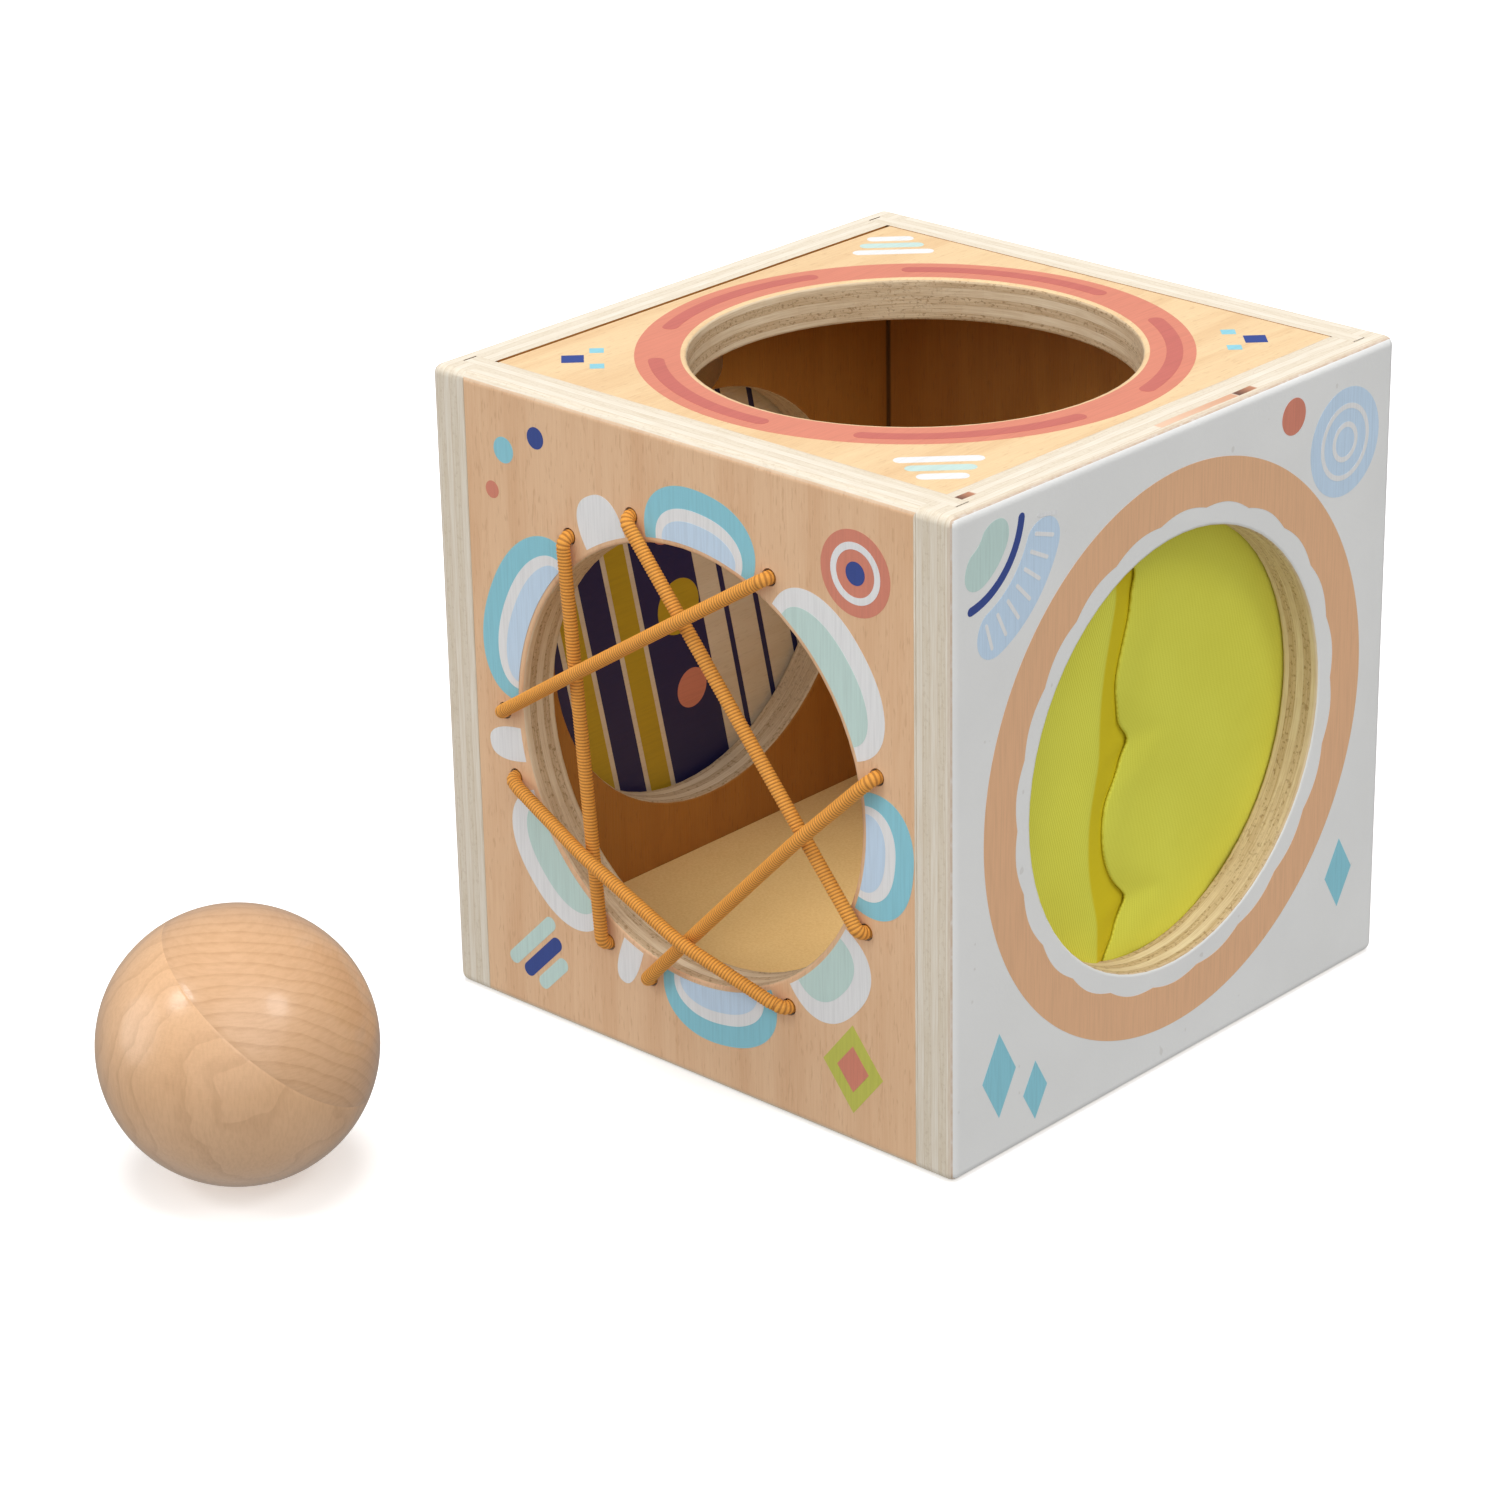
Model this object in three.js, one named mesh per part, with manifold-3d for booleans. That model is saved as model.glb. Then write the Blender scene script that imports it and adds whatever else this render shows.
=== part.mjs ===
// Wooden activity cube for a small child: a plywood box with a round opening in four of its faces.
// The front opening is laced with elastic, the right one has a slit curtain of stretch knit,
// the left one a cover that swings on a sleeve bolt, and a wooden ball goes with the box.
// Millimetres. The origin is the middle of the underside, +Z is up, and the laced front looks along -Y.

import * as THREE from "three";
import { RoundedBoxGeometry } from "three/addons/geometries/RoundedBoxGeometry.js";
import { mergeVertices } from "three/addons/utils/BufferGeometryUtils.js";
import Module from "manifold-3d";

// Box
const CUBE_SIDE = 150;
const WALL = 10; // plywood of the four walls and the lid
const FLOOR = 12; // fibreboard
const EDGE_RADIUS = 2.2; // easing of the cube's outer edges
const EDGE_STEPS = 3;
const TONGUE_THICKNESS = 4; // front and back walls are tongued into the side walls
const TONGUE_LENGTH = 5.5;
const GLUE_SPACE = 0.4; // groove depth left beyond a tongue
const LID_GAP = 0.7; // open joint along the lid's left edge
const ARRIS = 0.35; // small bevel on the edges that meet in a joint

// Round openings
const HOLE_MARGIN = 25; // from the cube's faces to the rim
const RIM_EASE = 0.9;
const RIM_STEPS = 2;
const ROUND_SIDES = 64;

// Lace
const CORD_DIAMETER = 3.2;
const CORD_SIDES = 8;
const CORD_CLEARANCE = 0.4; // between the cord and its holes, the wall and itself
const LACE_MARGIN = 6; // from the rim to the middle of the lace holes
const LACE_HOLE_SIDES = 16;
const LACE_HOLE_DEGREES = [127, 105.3, 63.5, 13.7, -24.6, -59.2, -103.2, -117.3, -161.8, -177.8];
const LACE_HOLES = "abcdefghij"; // a name for each of them
const LACE_RUNS = ["cj", "if", "eb", "ah", "gd"]; // front runs in the cord's order, each from hole to hole
const LACE_OVER = [["cj", "eb"], ["cj", "ah"], ["if", "ah"], ["if", "gd"], ["gd", "eb"]]; // upper, lower
const LACE_RUN_STEPS = 16;
const LACE_BEND_STEPS = 3;
const CROSSING_REACH = 24; // length over which a run rises to pass over another one
const KNOT_RADIUS = 3.4;
const KNOT_LENGTH = 9;

// Curtain
const CLOTH = 1; // thickness of the knit with its turned edge
const CURTAIN_CLEARANCE = 0.5; // from a free edge to the rim
const CURTAIN_FOLD = 41; // from the middle of the opening to the line where a curtain bends
const FOLD_CLEARANCE = 0.9;
const SLIT_OFFSET = -8.5; // the slit lies in front of the middle
const SLIT_WAVE = 4.5; // the right curtain's free edge waves to either side by this
const SLIT_PITCH = 37.5;
const SLIT_CREST = 38; // height of one crest above the middle of the opening
const SLIT_LAP = 6; // the left curtain runs on behind the right one
const TUCK_DEPTH = 5; // the left curtain dips inwards behind the right one
const TUCK_LENGTH = 14;
const EDGE_CURL = 1.2; // the right curtain's free edge waves in and out
const EDGE_CURL_LENGTH = 20;
const CLOTH_ROWS = 26;
const CLOTH_COLUMNS = 14;
const RIGHT_CURTAIN_REACH = 83; // degrees around the rim, up and down from the middle height
const LEFT_CURTAIN_REACH = 72;
const RING_THICKNESS = 4;
const RING_STEP = 2.5; // the ring's bore is set back from the rim
const RING_CLEARANCE = 3; // from the ring to the walls, lid and floor
const RING_EASE = 0.6;
const HEM_INSET = 1; // from the ring's outside to the cut edge of the cloth

// Swinging cover and its sleeve bolt
const DOOR_LAP = 14; // the cover reaches beyond the rim
const DOOR_THICKNESS = 5;
const DOOR_EASE = 1.2;
const DOOR_PLAY = 0.2; // along the bolt, at each side of the cover
const PIVOT_MARGIN = 7; // from the rim to the bolt's axis, straight above the opening
const PIVOT_SIDES = 24;
const SLEEVE_RADIUS = 3.5;
const SLEEVE_FIT = 0.15; // radial, in the wall
const DOOR_FIT = 0.25; // radial, in the cover and the washer
const SLEEVE_HEAD_RADIUS = 6.5;
const SLEEVE_HEAD_HEIGHT = 1.6;
const BOLT_RADIUS = 2;
const BOLT_FIT = 0.2; // radial, and beyond the bolt's tip
const BOLT_LENGTH = 11;
const BOLT_HEAD_RADIUS = 6.5;
const BOLT_HEAD_HEIGHT = 2.6;
const WASHER_RADIUS = 7;
const WASHER_THICKNESS = 1;

// Ball
const BALL_RADIUS = 30;
const BALL_PLACE = [-43.5, -168.5];
const BALL_SIDES = 48;
const BALL_RINGS = 24;

// Making
const TRIM = 1; // how far blanks and cutters stand out past the finished faces
const MERGE_DISTANCE = 1e-4;

// Places that follow from the sizes above
const HALF = CUBE_SIDE / 2;
const INNER = HALF - WALL; // inner faces of the four walls
const HOLE_RADIUS = HALF - HOLE_MARGIN;
const MIDDLE = CUBE_SIDE / 2; // height of the openings' middle
const CORD_RADIUS = CORD_DIAMETER / 2;

const wasm = await Module();
wasm.setup();

const group = new THREE.Group();

const wood = new THREE.MeshStandardMaterial({ color: 0xe3ae78, roughness: 0.5, metalness: 0 });
const paintedWood = new THREE.MeshStandardMaterial({ color: 0xe9e7e2, roughness: 0.55, metalness: 0 });
const fibreboard = new THREE.MeshStandardMaterial({ color: 0xb98c55, roughness: 0.8, metalness: 0 });
const elastic = new THREE.MeshStandardMaterial({ color: 0xc9812a, roughness: 0.85, metalness: 0 });
const knit = new THREE.MeshStandardMaterial({ color: 0xdde43a, roughness: 0.8, metalness: 0 });
const steel = new THREE.MeshStandardMaterial({ color: 0xb9bcc0, roughness: 0.35, metalness: 1 });
const nylon = new THREE.MeshStandardMaterial({ color: 0xe8e6df, roughness: 0.5, metalness: 0 });
const maple = new THREE.MeshStandardMaterial({ color: 0xe2b489, roughness: 0.35, metalness: 0 });

// A closed geometry as a solid for cutting and joining
function solidOf(geometry) {
  const bare = new THREE.BufferGeometry();
  bare.setAttribute("position", geometry.getAttribute("position"));
  bare.setIndex(geometry.index);
  const merged = mergeVertices(bare, MERGE_DISTANCE);
  const mesh = new wasm.Mesh({
    numProp: 3,
    vertProperties: new Float32Array(merged.attributes.position.array),
    triVerts: new Uint32Array(merged.index.array),
  });
  return new wasm.Manifold(mesh);
}

function geometryOf(solid) {
  const mesh = solid.getMesh();
  const geometry = new THREE.BufferGeometry();
  geometry.setAttribute("position", new THREE.BufferAttribute(mesh.vertProperties, mesh.numProp));
  geometry.setIndex(new THREE.BufferAttribute(mesh.triVerts, 1));
  geometry.computeVertexNormals();
  return geometry;
}

function addPiece(name, geometry, material) {
  const mesh = new THREE.Mesh(geometry, material);
  mesh.name = name;
  group.add(mesh);
  return mesh;
}

// A solid turned from a profile of [radius, distance along +Y]
function turned(profile, sides) {
  const points = profile.map(([radius, along]) => new THREE.Vector2(radius, along));
  return new THREE.LatheGeometry(points, sides);
}

// Points of a quarter round from one profile direction to the other
function quarterRound(centreRadius, centreAlong, radius, fromDegrees, toDegrees, steps) {
  return Array.from({ length: steps + 1 }, (_, i) => {
    const angle = THREE.MathUtils.degToRad(fromDegrees + ((toDegrees - fromDegrees) * i) / steps);
    return [centreRadius + radius * Math.cos(angle), centreAlong + radius * Math.sin(angle)];
  });
}

// The whole cube with its eased edges, which trims the blanks of the walls
function easedCube() {
  const block = new RoundedBoxGeometry(CUBE_SIDE, CUBE_SIDE, CUBE_SIDE, EDGE_STEPS, EDGE_RADIUS);
  block.translate(0, 0, MIDDLE);
  return solidOf(block);
}

// A wall from its outline seen from above
function wall(outline) {
  const shape = new THREE.Shape(outline.map(([x, y]) => new THREE.Vector2(x, y)));
  const blank = new THREE.ExtrudeGeometry(shape, { depth: CUBE_SIDE + 2 * TRIM, bevelEnabled: false });
  blank.translate(0, 0, -TRIM);
  return solidOf(blank).intersect(easedCube());
}

// Tool for a round opening with eased rims, along +Y through a board that starts at y = 0
function openingCutter() {
  const flare = HOLE_RADIUS + RIM_EASE;
  const profile = [
    [0, -TRIM],
    [flare, -TRIM],
    ...quarterRound(flare, RIM_EASE, RIM_EASE, 270, 180, RIM_STEPS),
    ...quarterRound(flare, WALL - RIM_EASE, RIM_EASE, 180, 90, RIM_STEPS),
    [flare, WALL + TRIM],
    [0, WALL + TRIM],
  ];
  return turned(profile, ROUND_SIDES);
}

function boreCutter(radius, length, sides) {
  return new THREE.CylinderGeometry(radius, radius, length, sides);
}

// Middle of a lace hole on the front, as x and height
function laceHole(name) {
  const angle = THREE.MathUtils.degToRad(LACE_HOLE_DEGREES[LACE_HOLES.indexOf(name)]);
  const radius = HOLE_RADIUS + LACE_MARGIN;
  return new THREE.Vector2(radius * Math.cos(angle), MIDDLE + radius * Math.sin(angle));
}

// Outline of the front wall with its two tongues; side -1 is the front and 1 the back
function tonguedOutline(side) {
  const outer = side * (HALF + TRIM);
  const inner = side * INNER;
  const cheek = side * (INNER + TONGUE_THICKNESS);
  const tip = INNER + TONGUE_LENGTH;
  const corner = side * (HALF - ARRIS);
  const face = INNER - ARRIS - TRIM;
  return [
    [-face, outer], [face, outer], [INNER, corner], [INNER, cheek], [tip, cheek],
    [tip, inner], [-tip, inner], [-tip, cheek], [-INNER, cheek], [-INNER, corner],
  ];
}

// Outline of a side wall with its two grooves; side 1 is the right and -1 the left
function groovedOutline(side) {
  const outer = HALF + TRIM;
  const cheek = INNER + TONGUE_THICKNESS;
  const depth = INNER + TONGUE_LENGTH + GLUE_SPACE;
  const half = [
    [outer, outer], [INNER + ARRIS + TRIM, outer], [INNER, HALF - ARRIS],
    [INNER, cheek], [depth, cheek], [depth, INNER], [INNER, INNER],
  ];
  const mirrored = half.map(([x, y]) => [x, -y]).reverse();
  return [...half, ...mirrored].map(([x, y]) => [side * x, y]);
}

function addFrontAndBack() {
  let front = wall(tonguedOutline(-1));
  front = front.subtract(solidOf(openingCutter().translate(0, -HALF, MIDDLE)));
  for (const name of LACE_HOLES) {
    const place = laceHole(name);
    const cutter = boreCutter(CORD_RADIUS + CORD_CLEARANCE, WALL + 2 * TRIM, LACE_HOLE_SIDES);
    front = front.subtract(solidOf(cutter.translate(place.x, -HALF + WALL / 2, place.y)));
  }
  addPiece("front_panel", geometryOf(front), wood);
  addPiece("back_panel", geometryOf(wall(tonguedOutline(1))), wood);
}

function addSides() {
  const right = wall(groovedOutline(1));
  const rightCutter = openingCutter().rotateZ(-Math.PI / 2).translate(INNER, 0, MIDDLE);
  addPiece("right_panel", geometryOf(right.subtract(solidOf(rightCutter))), paintedWood);

  const left = wall(groovedOutline(-1));
  const leftCutter = openingCutter().rotateZ(-Math.PI / 2).translate(-HALF, 0, MIDDLE);
  const bore = boreCutter(SLEEVE_RADIUS + SLEEVE_FIT, WALL + 2 * TRIM, PIVOT_SIDES).rotateZ(Math.PI / 2);
  bore.translate(-HALF + WALL / 2, 0, MIDDLE + HOLE_RADIUS + PIVOT_MARGIN);
  const cut = left.subtract(solidOf(leftCutter)).subtract(solidOf(bore));
  addPiece("left_panel", geometryOf(cut), paintedWood);
}

// A board that lies between the walls, from its left edge to the right wall, standing on z = 0
function board(left, thickness) {
  const outline = [[left, -INNER], [INNER, -INNER], [INNER, INNER], [left, INNER]];
  const shape = new THREE.Shape(outline.map(([x, y]) => new THREE.Vector2(x, y)));
  const bevel = { bevelThickness: ARRIS, bevelSize: ARRIS, bevelOffset: -ARRIS, bevelSegments: 1 };
  return new THREE.ExtrudeGeometry(shape, { depth: thickness - 2 * ARRIS, ...bevel }).translate(0, 0, ARRIS);
}

function addLidAndFloor() {
  const lid = board(LID_GAP - INNER, WALL).translate(0, 0, CUBE_SIDE - WALL);
  const cutter = openingCutter().rotateX(Math.PI / 2).translate(0, 0, CUBE_SIDE - WALL);
  addPiece("top_panel", geometryOf(solidOf(lid).subtract(solidOf(cutter))), wood);

  addPiece("floor_panel", geometryOf(solidOf(board(-INNER, FLOOR))), fibreboard);
}

// A route with stations close together in the bends and far apart on the straight runs
class LaceRoute extends THREE.CatmullRomCurve3 {
  getPointAt(u, target) {
    return this.getPoint(u, target);
  }

  getTangentAt(u, target) {
    return this.getTangent(u, target);
  }
}

const LACE_BEND = CORD_RADIUS + CORD_CLEARANCE;
const IN_FRONT = { face: -HALF, out: -1 };
const BEHIND = { face: -INNER, out: 1 };

// Stations from a hole's mouth to the run that leaves it along direction, on one side of the wall
function laceBend(hole, direction, side) {
  return Array.from({ length: LACE_BEND_STEPS + 1 }, (_, i) => {
    const angle = ((Math.PI / 2) * i) / LACE_BEND_STEPS;
    const along = LACE_BEND * (1 - Math.cos(angle));
    const y = side.face + side.out * LACE_BEND * Math.sin(angle);
    return new THREE.Vector3(hole.x + direction.x * along, y, hole.y + direction.y * along);
  });
}

// Distance from the start of one run to where another one crosses it
function crossingDistance(run, other) {
  const along = run.to.clone().sub(run.from);
  const across = other.to.clone().sub(other.from);
  const between = other.from.clone().sub(run.from);
  return (between.cross(across) / along.cross(across)) * along.length();
}

function laceRuns() {
  return LACE_RUNS.map((name) => ({ name, from: laceHole(name[0]), to: laceHole(name[1]) }));
}

// How far a front run stands out at a distance from its start, to pass over the runs below it
function crossingLift(runs, run, distance) {
  let total = 0;
  for (const [upper, lower] of LACE_OVER) {
    if (run.name !== upper) continue;
    const place = crossingDistance(run, runs.find(({ name }) => name === lower));
    const away = Math.min(1, Math.abs(distance - place) / CROSSING_REACH);
    total += ((CORD_DIAMETER + CORD_CLEARANCE) * (1 + Math.cos(Math.PI * away))) / 2;
  }
  return total;
}

function frontStations(runs, run) {
  const { from, to } = run;
  const length = from.distanceTo(to);
  const direction = to.clone().sub(from).normalize();
  return Array.from({ length: LACE_RUN_STEPS - 1 }, (_, i) => {
    const distance = LACE_BEND + ((length - 2 * LACE_BEND) * (i + 1)) / LACE_RUN_STEPS;
    const y = -HALF - LACE_BEND - crossingLift(runs, run, distance);
    return new THREE.Vector3(from.x + direction.x * distance, y, from.y + direction.y * distance);
  });
}

// The knot sits behind the wall, half way between the last hole and the first one
function knotPlace(runs) {
  const first = runs[0].from;
  const last = runs[runs.length - 1].to;
  const middle = first.clone().add(last).multiplyScalar(0.5);
  return {
    centre: new THREE.Vector3(middle.x, -INNER + KNOT_RADIUS + CORD_CLEARANCE, middle.y),
    axis: new THREE.Vector3(last.x - first.x, 0, last.y - first.y).normalize(),
  };
}

function addLace() {
  const runs = laceRuns();
  const knot = knotPlace(runs);
  const knotEnd = KNOT_LENGTH / 2 + CORD_CLEARANCE;
  const lead = CORD_DIAMETER; // straight stretch next to the knot
  const stations = [
    knot.centre.clone().addScaledVector(knot.axis, -knotEnd),
    knot.centre.clone().addScaledVector(knot.axis, -knotEnd - lead),
  ];
  runs.forEach((run, i) => {
    const before = runs[(i + runs.length - 1) % runs.length].to;
    const after = runs[(i + 1) % runs.length].from;
    const direction = run.to.clone().sub(run.from).normalize();
    const arriving = before.clone().sub(run.from).normalize();
    const leaving = after.clone().sub(run.to).normalize();
    stations.push(...laceBend(run.from, arriving, BEHIND).reverse());
    stations.push(...laceBend(run.from, direction, IN_FRONT));
    stations.push(...frontStations(runs, run));
    stations.push(...laceBend(run.to, direction.clone().negate(), IN_FRONT).reverse());
    stations.push(...laceBend(run.to, leaving, BEHIND));
  });
  stations.push(knot.centre.clone().addScaledVector(knot.axis, knotEnd + lead));
  stations.push(knot.centre.clone().addScaledVector(knot.axis, knotEnd));

  const section = new THREE.Shape();
  for (let i = 0; i < CORD_SIDES; i++) {
    const angle = (2 * Math.PI * i) / CORD_SIDES;
    const corner = [CORD_RADIUS * Math.cos(angle), CORD_RADIUS * Math.sin(angle)];
    if (i === 0) section.moveTo(...corner);
    else section.lineTo(...corner);
  }
  const extrudePath = new LaceRoute(stations);
  const cord = new THREE.ExtrudeGeometry(section, { steps: stations.length - 1, extrudePath });
  addPiece("elastic_lace", cord, elastic);

  // Two rounded lumps with a waist between them
  const waist = KNOT_RADIUS - CORD_CLEARANCE;
  const profile = new THREE.SplineCurve([
    new THREE.Vector2(CORD_RADIUS + CORD_CLEARANCE, -KNOT_LENGTH / 2),
    new THREE.Vector2(KNOT_RADIUS, -KNOT_LENGTH / 4),
    new THREE.Vector2(waist, 0),
    new THREE.Vector2(KNOT_RADIUS, KNOT_LENGTH / 4),
    new THREE.Vector2(CORD_RADIUS + CORD_CLEARANCE, KNOT_LENGTH / 2),
  ]).getPoints(10).map((p) => [Math.min(p.x, KNOT_RADIUS), p.y]);
  const lump = turned([[0, -KNOT_LENGTH / 2], ...profile, [0, KNOT_LENGTH / 2]], LACE_HOLE_SIDES);
  const piece = addPiece("lace_knot", lump, elastic);
  piece.position.copy(knot.centre);
  piece.quaternion.setFromUnitVectors(new THREE.Vector3(0, 1, 0), knot.axis);
}

// The right curtain's free edge, as y at a height above the middle of the opening
function slitEdge(height) {
  return SLIT_OFFSET + SLIT_WAVE * Math.cos((2 * Math.PI * (height - SLIT_CREST)) / SLIT_PITCH);
}

const CLOTH_MIDDLE = INNER - CLOTH / 2; // x of the flat cloth

// The right curtain lies flat and its free edge waves in and out
function rightClothX(y, height) {
  const near = 1 - THREE.MathUtils.smoothstep(y - slitEdge(height), 0, EDGE_CURL_LENGTH);
  const wave = Math.cos((2 * Math.PI * (height - SLIT_CREST)) / SLIT_PITCH);
  return CLOTH_MIDDLE + EDGE_CURL * wave * near;
}

// The left curtain dips inwards before it passes behind the right one
function leftClothX(y, height) {
  const fromEdge = slitEdge(height) - y;
  return CLOTH_MIDDLE - TUCK_DEPTH * (1 - THREE.MathUtils.smoothstep(fromEdge, 0, TUCK_LENGTH));
}

// A closed sheet of cloth over a grid of rows going up and columns going along +Y
function clothSheet(place) {
  const positions = [];
  const faces = [];
  const across = CLOTH_COLUMNS + 1;
  const layer = (CLOTH_ROWS + 1) * across;
  for (const side of [CLOTH / 2, -CLOTH / 2]) {
    for (let i = 0; i <= CLOTH_ROWS; i++) {
      for (let j = 0; j <= CLOTH_COLUMNS; j++) {
        const { x, y, z } = place(i / CLOTH_ROWS, j / CLOTH_COLUMNS);
        positions.push(x + side, y, z);
      }
    }
  }
  const quad = (a, b, c, d) => faces.push(a, b, c, a, c, d);
  for (let i = 0; i < CLOTH_ROWS; i++) {
    for (let j = 0; j < CLOTH_COLUMNS; j++) {
      const a = i * across + j;
      quad(a, a + 1, a + across + 1, a + across);
      quad(layer + a, layer + a + across, layer + a + across + 1, layer + a + 1);
    }
  }
  const wallBetween = (a, b) => quad(a, layer + a, layer + b, b);
  for (let j = 0; j < CLOTH_COLUMNS; j++) {
    wallBetween(j, j + 1);
    wallBetween(CLOTH_ROWS * across + j + 1, CLOTH_ROWS * across + j);
  }
  for (let i = 0; i < CLOTH_ROWS; i++) {
    wallBetween(i * across + CLOTH_COLUMNS, (i + 1) * across + CLOTH_COLUMNS);
    wallBetween((i + 1) * across, i * across);
  }
  const geometry = new THREE.BufferGeometry();
  geometry.setAttribute("position", new THREE.Float32BufferAttribute(positions, 3));
  geometry.setIndex(faces);
  geometry.computeVertexNormals();
  return geometry;
}

// The moving part of a curtain: rows reach round the rim, and limits gives each row's two ends
function curtainSheet(reach, limits, clothX) {
  const rim = HOLE_RADIUS - CURTAIN_CLEARANCE;
  return clothSheet((up, along) => {
    const angle = THREE.MathUtils.degToRad(reach * (2 * up - 1));
    const height = rim * Math.sin(angle);
    const [start, end] = limits(height, rim * Math.cos(angle));
    const y = start + (end - start) * along;
    return { x: clothX(y, height), y, z: MIDDLE + height };
  });
}

// The clamped edge of a curtain, from the line where it bends out to the cut edge; side 1 is the right
function hem(side) {
  const radius = ringRadius() - HEM_INSET;
  const end = Math.acos(CURTAIN_FOLD / radius);
  const shape = new THREE.Shape().absarc(0, 0, radius, -end, end, false).closePath();
  const sheet = new THREE.ExtrudeGeometry(shape, { depth: CLOTH, bevelEnabled: false, curveSegments: 24 });
  const axes = [new THREE.Vector3(0, side, 0), new THREE.Vector3(0, 0, side), new THREE.Vector3(1, 0, 0)];
  sheet.applyMatrix4(new THREE.Matrix4().makeBasis(...axes));
  return sheet.translate(INNER - CLOTH, 0, MIDDLE);
}

function ringRadius() {
  return HALF - Math.max(WALL, FLOOR) - RING_CLEARANCE;
}

function addCurtain() {
  const foldEnd = CURTAIN_FOLD - FOLD_CLEARANCE;
  const rightLimits = (height, rim) => [Math.max(slitEdge(height), -rim), Math.min(foldEnd, rim)];
  const leftLimits = (height, rim) => [Math.max(-foldEnd, -rim), Math.min(slitEdge(height) + SLIT_LAP, rim)];
  addPiece("right_curtain", curtainSheet(RIGHT_CURTAIN_REACH, rightLimits, rightClothX), knit);
  addPiece("left_curtain", curtainSheet(LEFT_CURTAIN_REACH, leftLimits, leftClothX), knit);
  addPiece("right_curtain_hem", hem(1), knit);
  addPiece("left_curtain_hem", hem(-1), knit);

  const bore = HOLE_RADIUS + RING_STEP;
  const outside = ringRadius();
  const profile = [
    [bore, RING_THICKNESS],
    [bore, RING_EASE],
    [bore + RING_EASE, 0],
    [outside - RING_EASE, 0],
    [outside, RING_EASE],
    [outside, RING_THICKNESS],
    [bore, RING_THICKNESS],
  ];
  const ring = turned(profile, ROUND_SIDES).rotateZ(-Math.PI / 2);
  addPiece("curtain_ring", ring.translate(INNER - CLOTH - RING_THICKNESS, 0, MIDDLE), wood);
}

// The cover hangs outside the left wall; distances below run outwards from the cube's middle
function addDoor() {
  const pivotHeight = MIDDLE + HOLE_RADIUS + PIVOT_MARGIN;
  const doorStart = HALF + WASHER_THICKNESS + DOOR_PLAY;
  const headStart = doorStart + DOOR_THICKNESS + DOOR_PLAY;
  const facingLeft = (geometry, height) => geometry.rotateZ(Math.PI / 2).translate(0, 0, height);

  const doorRadius = HOLE_RADIUS + DOOR_LAP;
  const doorEnd = doorStart + DOOR_THICKNESS;
  const doorProfile = [
    [0, doorStart],
    ...quarterRound(doorRadius - DOOR_EASE, doorStart + DOOR_EASE, DOOR_EASE, 270, 360, RIM_STEPS),
    ...quarterRound(doorRadius - DOOR_EASE, doorEnd - DOOR_EASE, DOOR_EASE, 0, 90, RIM_STEPS),
    [0, doorEnd],
  ];
  const disc = solidOf(facingLeft(turned(doorProfile, ROUND_SIDES), MIDDLE));
  const bore = boreCutter(SLEEVE_RADIUS + DOOR_FIT, DOOR_THICKNESS + 2 * TRIM, PIVOT_SIDES);
  bore.translate(0, doorStart + DOOR_THICKNESS / 2, 0);
  const door = disc.subtract(solidOf(facingLeft(bore, pivotHeight)));
  addPiece("door_disc", geometryOf(door), paintedWood);

  const boltTip = headStart - BOLT_LENGTH;
  const sleeveProfile = [
    [0, INNER - SLEEVE_HEAD_HEIGHT],
    [SLEEVE_HEAD_RADIUS - SLEEVE_HEAD_HEIGHT / 2, INNER - SLEEVE_HEAD_HEIGHT],
    [SLEEVE_HEAD_RADIUS, INNER - SLEEVE_HEAD_HEIGHT / 2],
    [SLEEVE_HEAD_RADIUS, INNER - SLEEVE_FIT],
    [SLEEVE_RADIUS, INNER - SLEEVE_FIT],
    [SLEEVE_RADIUS, headStart - BOLT_FIT],
    [BOLT_RADIUS + BOLT_FIT, headStart - BOLT_FIT],
    [BOLT_RADIUS + BOLT_FIT, boltTip - BOLT_FIT],
    [0, boltTip - BOLT_FIT],
  ];
  addPiece("pivot_sleeve", facingLeft(turned(sleeveProfile, PIVOT_SIDES), pivotHeight), steel);

  const boltProfile = [
    [0, boltTip],
    [BOLT_RADIUS, boltTip],
    [BOLT_RADIUS, headStart],
    [BOLT_HEAD_RADIUS, headStart],
    [BOLT_HEAD_RADIUS, headStart + BOLT_HEAD_HEIGHT / 3],
    [BOLT_HEAD_RADIUS * 0.8, headStart + BOLT_HEAD_HEIGHT * 0.75],
    [BOLT_HEAD_RADIUS * 0.45, headStart + BOLT_HEAD_HEIGHT * 0.95],
    [0, headStart + BOLT_HEAD_HEIGHT],
  ];
  addPiece("pivot_bolt", facingLeft(turned(boltProfile, PIVOT_SIDES), pivotHeight), steel);

  const washerProfile = [
    [SLEEVE_RADIUS + DOOR_FIT, HALF],
    [WASHER_RADIUS, HALF],
    [WASHER_RADIUS, HALF + WASHER_THICKNESS],
    [SLEEVE_RADIUS + DOOR_FIT, HALF + WASHER_THICKNESS],
    [SLEEVE_RADIUS + DOOR_FIT, HALF],
  ];
  addPiece("pivot_washer", facingLeft(turned(washerProfile, PIVOT_SIDES), pivotHeight), nylon);
}

function addBall() {
  const sphere = new THREE.SphereGeometry(BALL_RADIUS, BALL_SIDES, BALL_RINGS).rotateX(Math.PI / 2);
  const ball = addPiece("ball", sphere, maple);
  ball.position.set(...BALL_PLACE, BALL_RADIUS);
}

addFrontAndBack();
addSides();
addLidAndFloor();
addLace();
addCurtain();
addDoor();
addBall();

export default group;
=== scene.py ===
import math

import bpy
import numpy as np
from mathutils import Matrix, Vector


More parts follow.
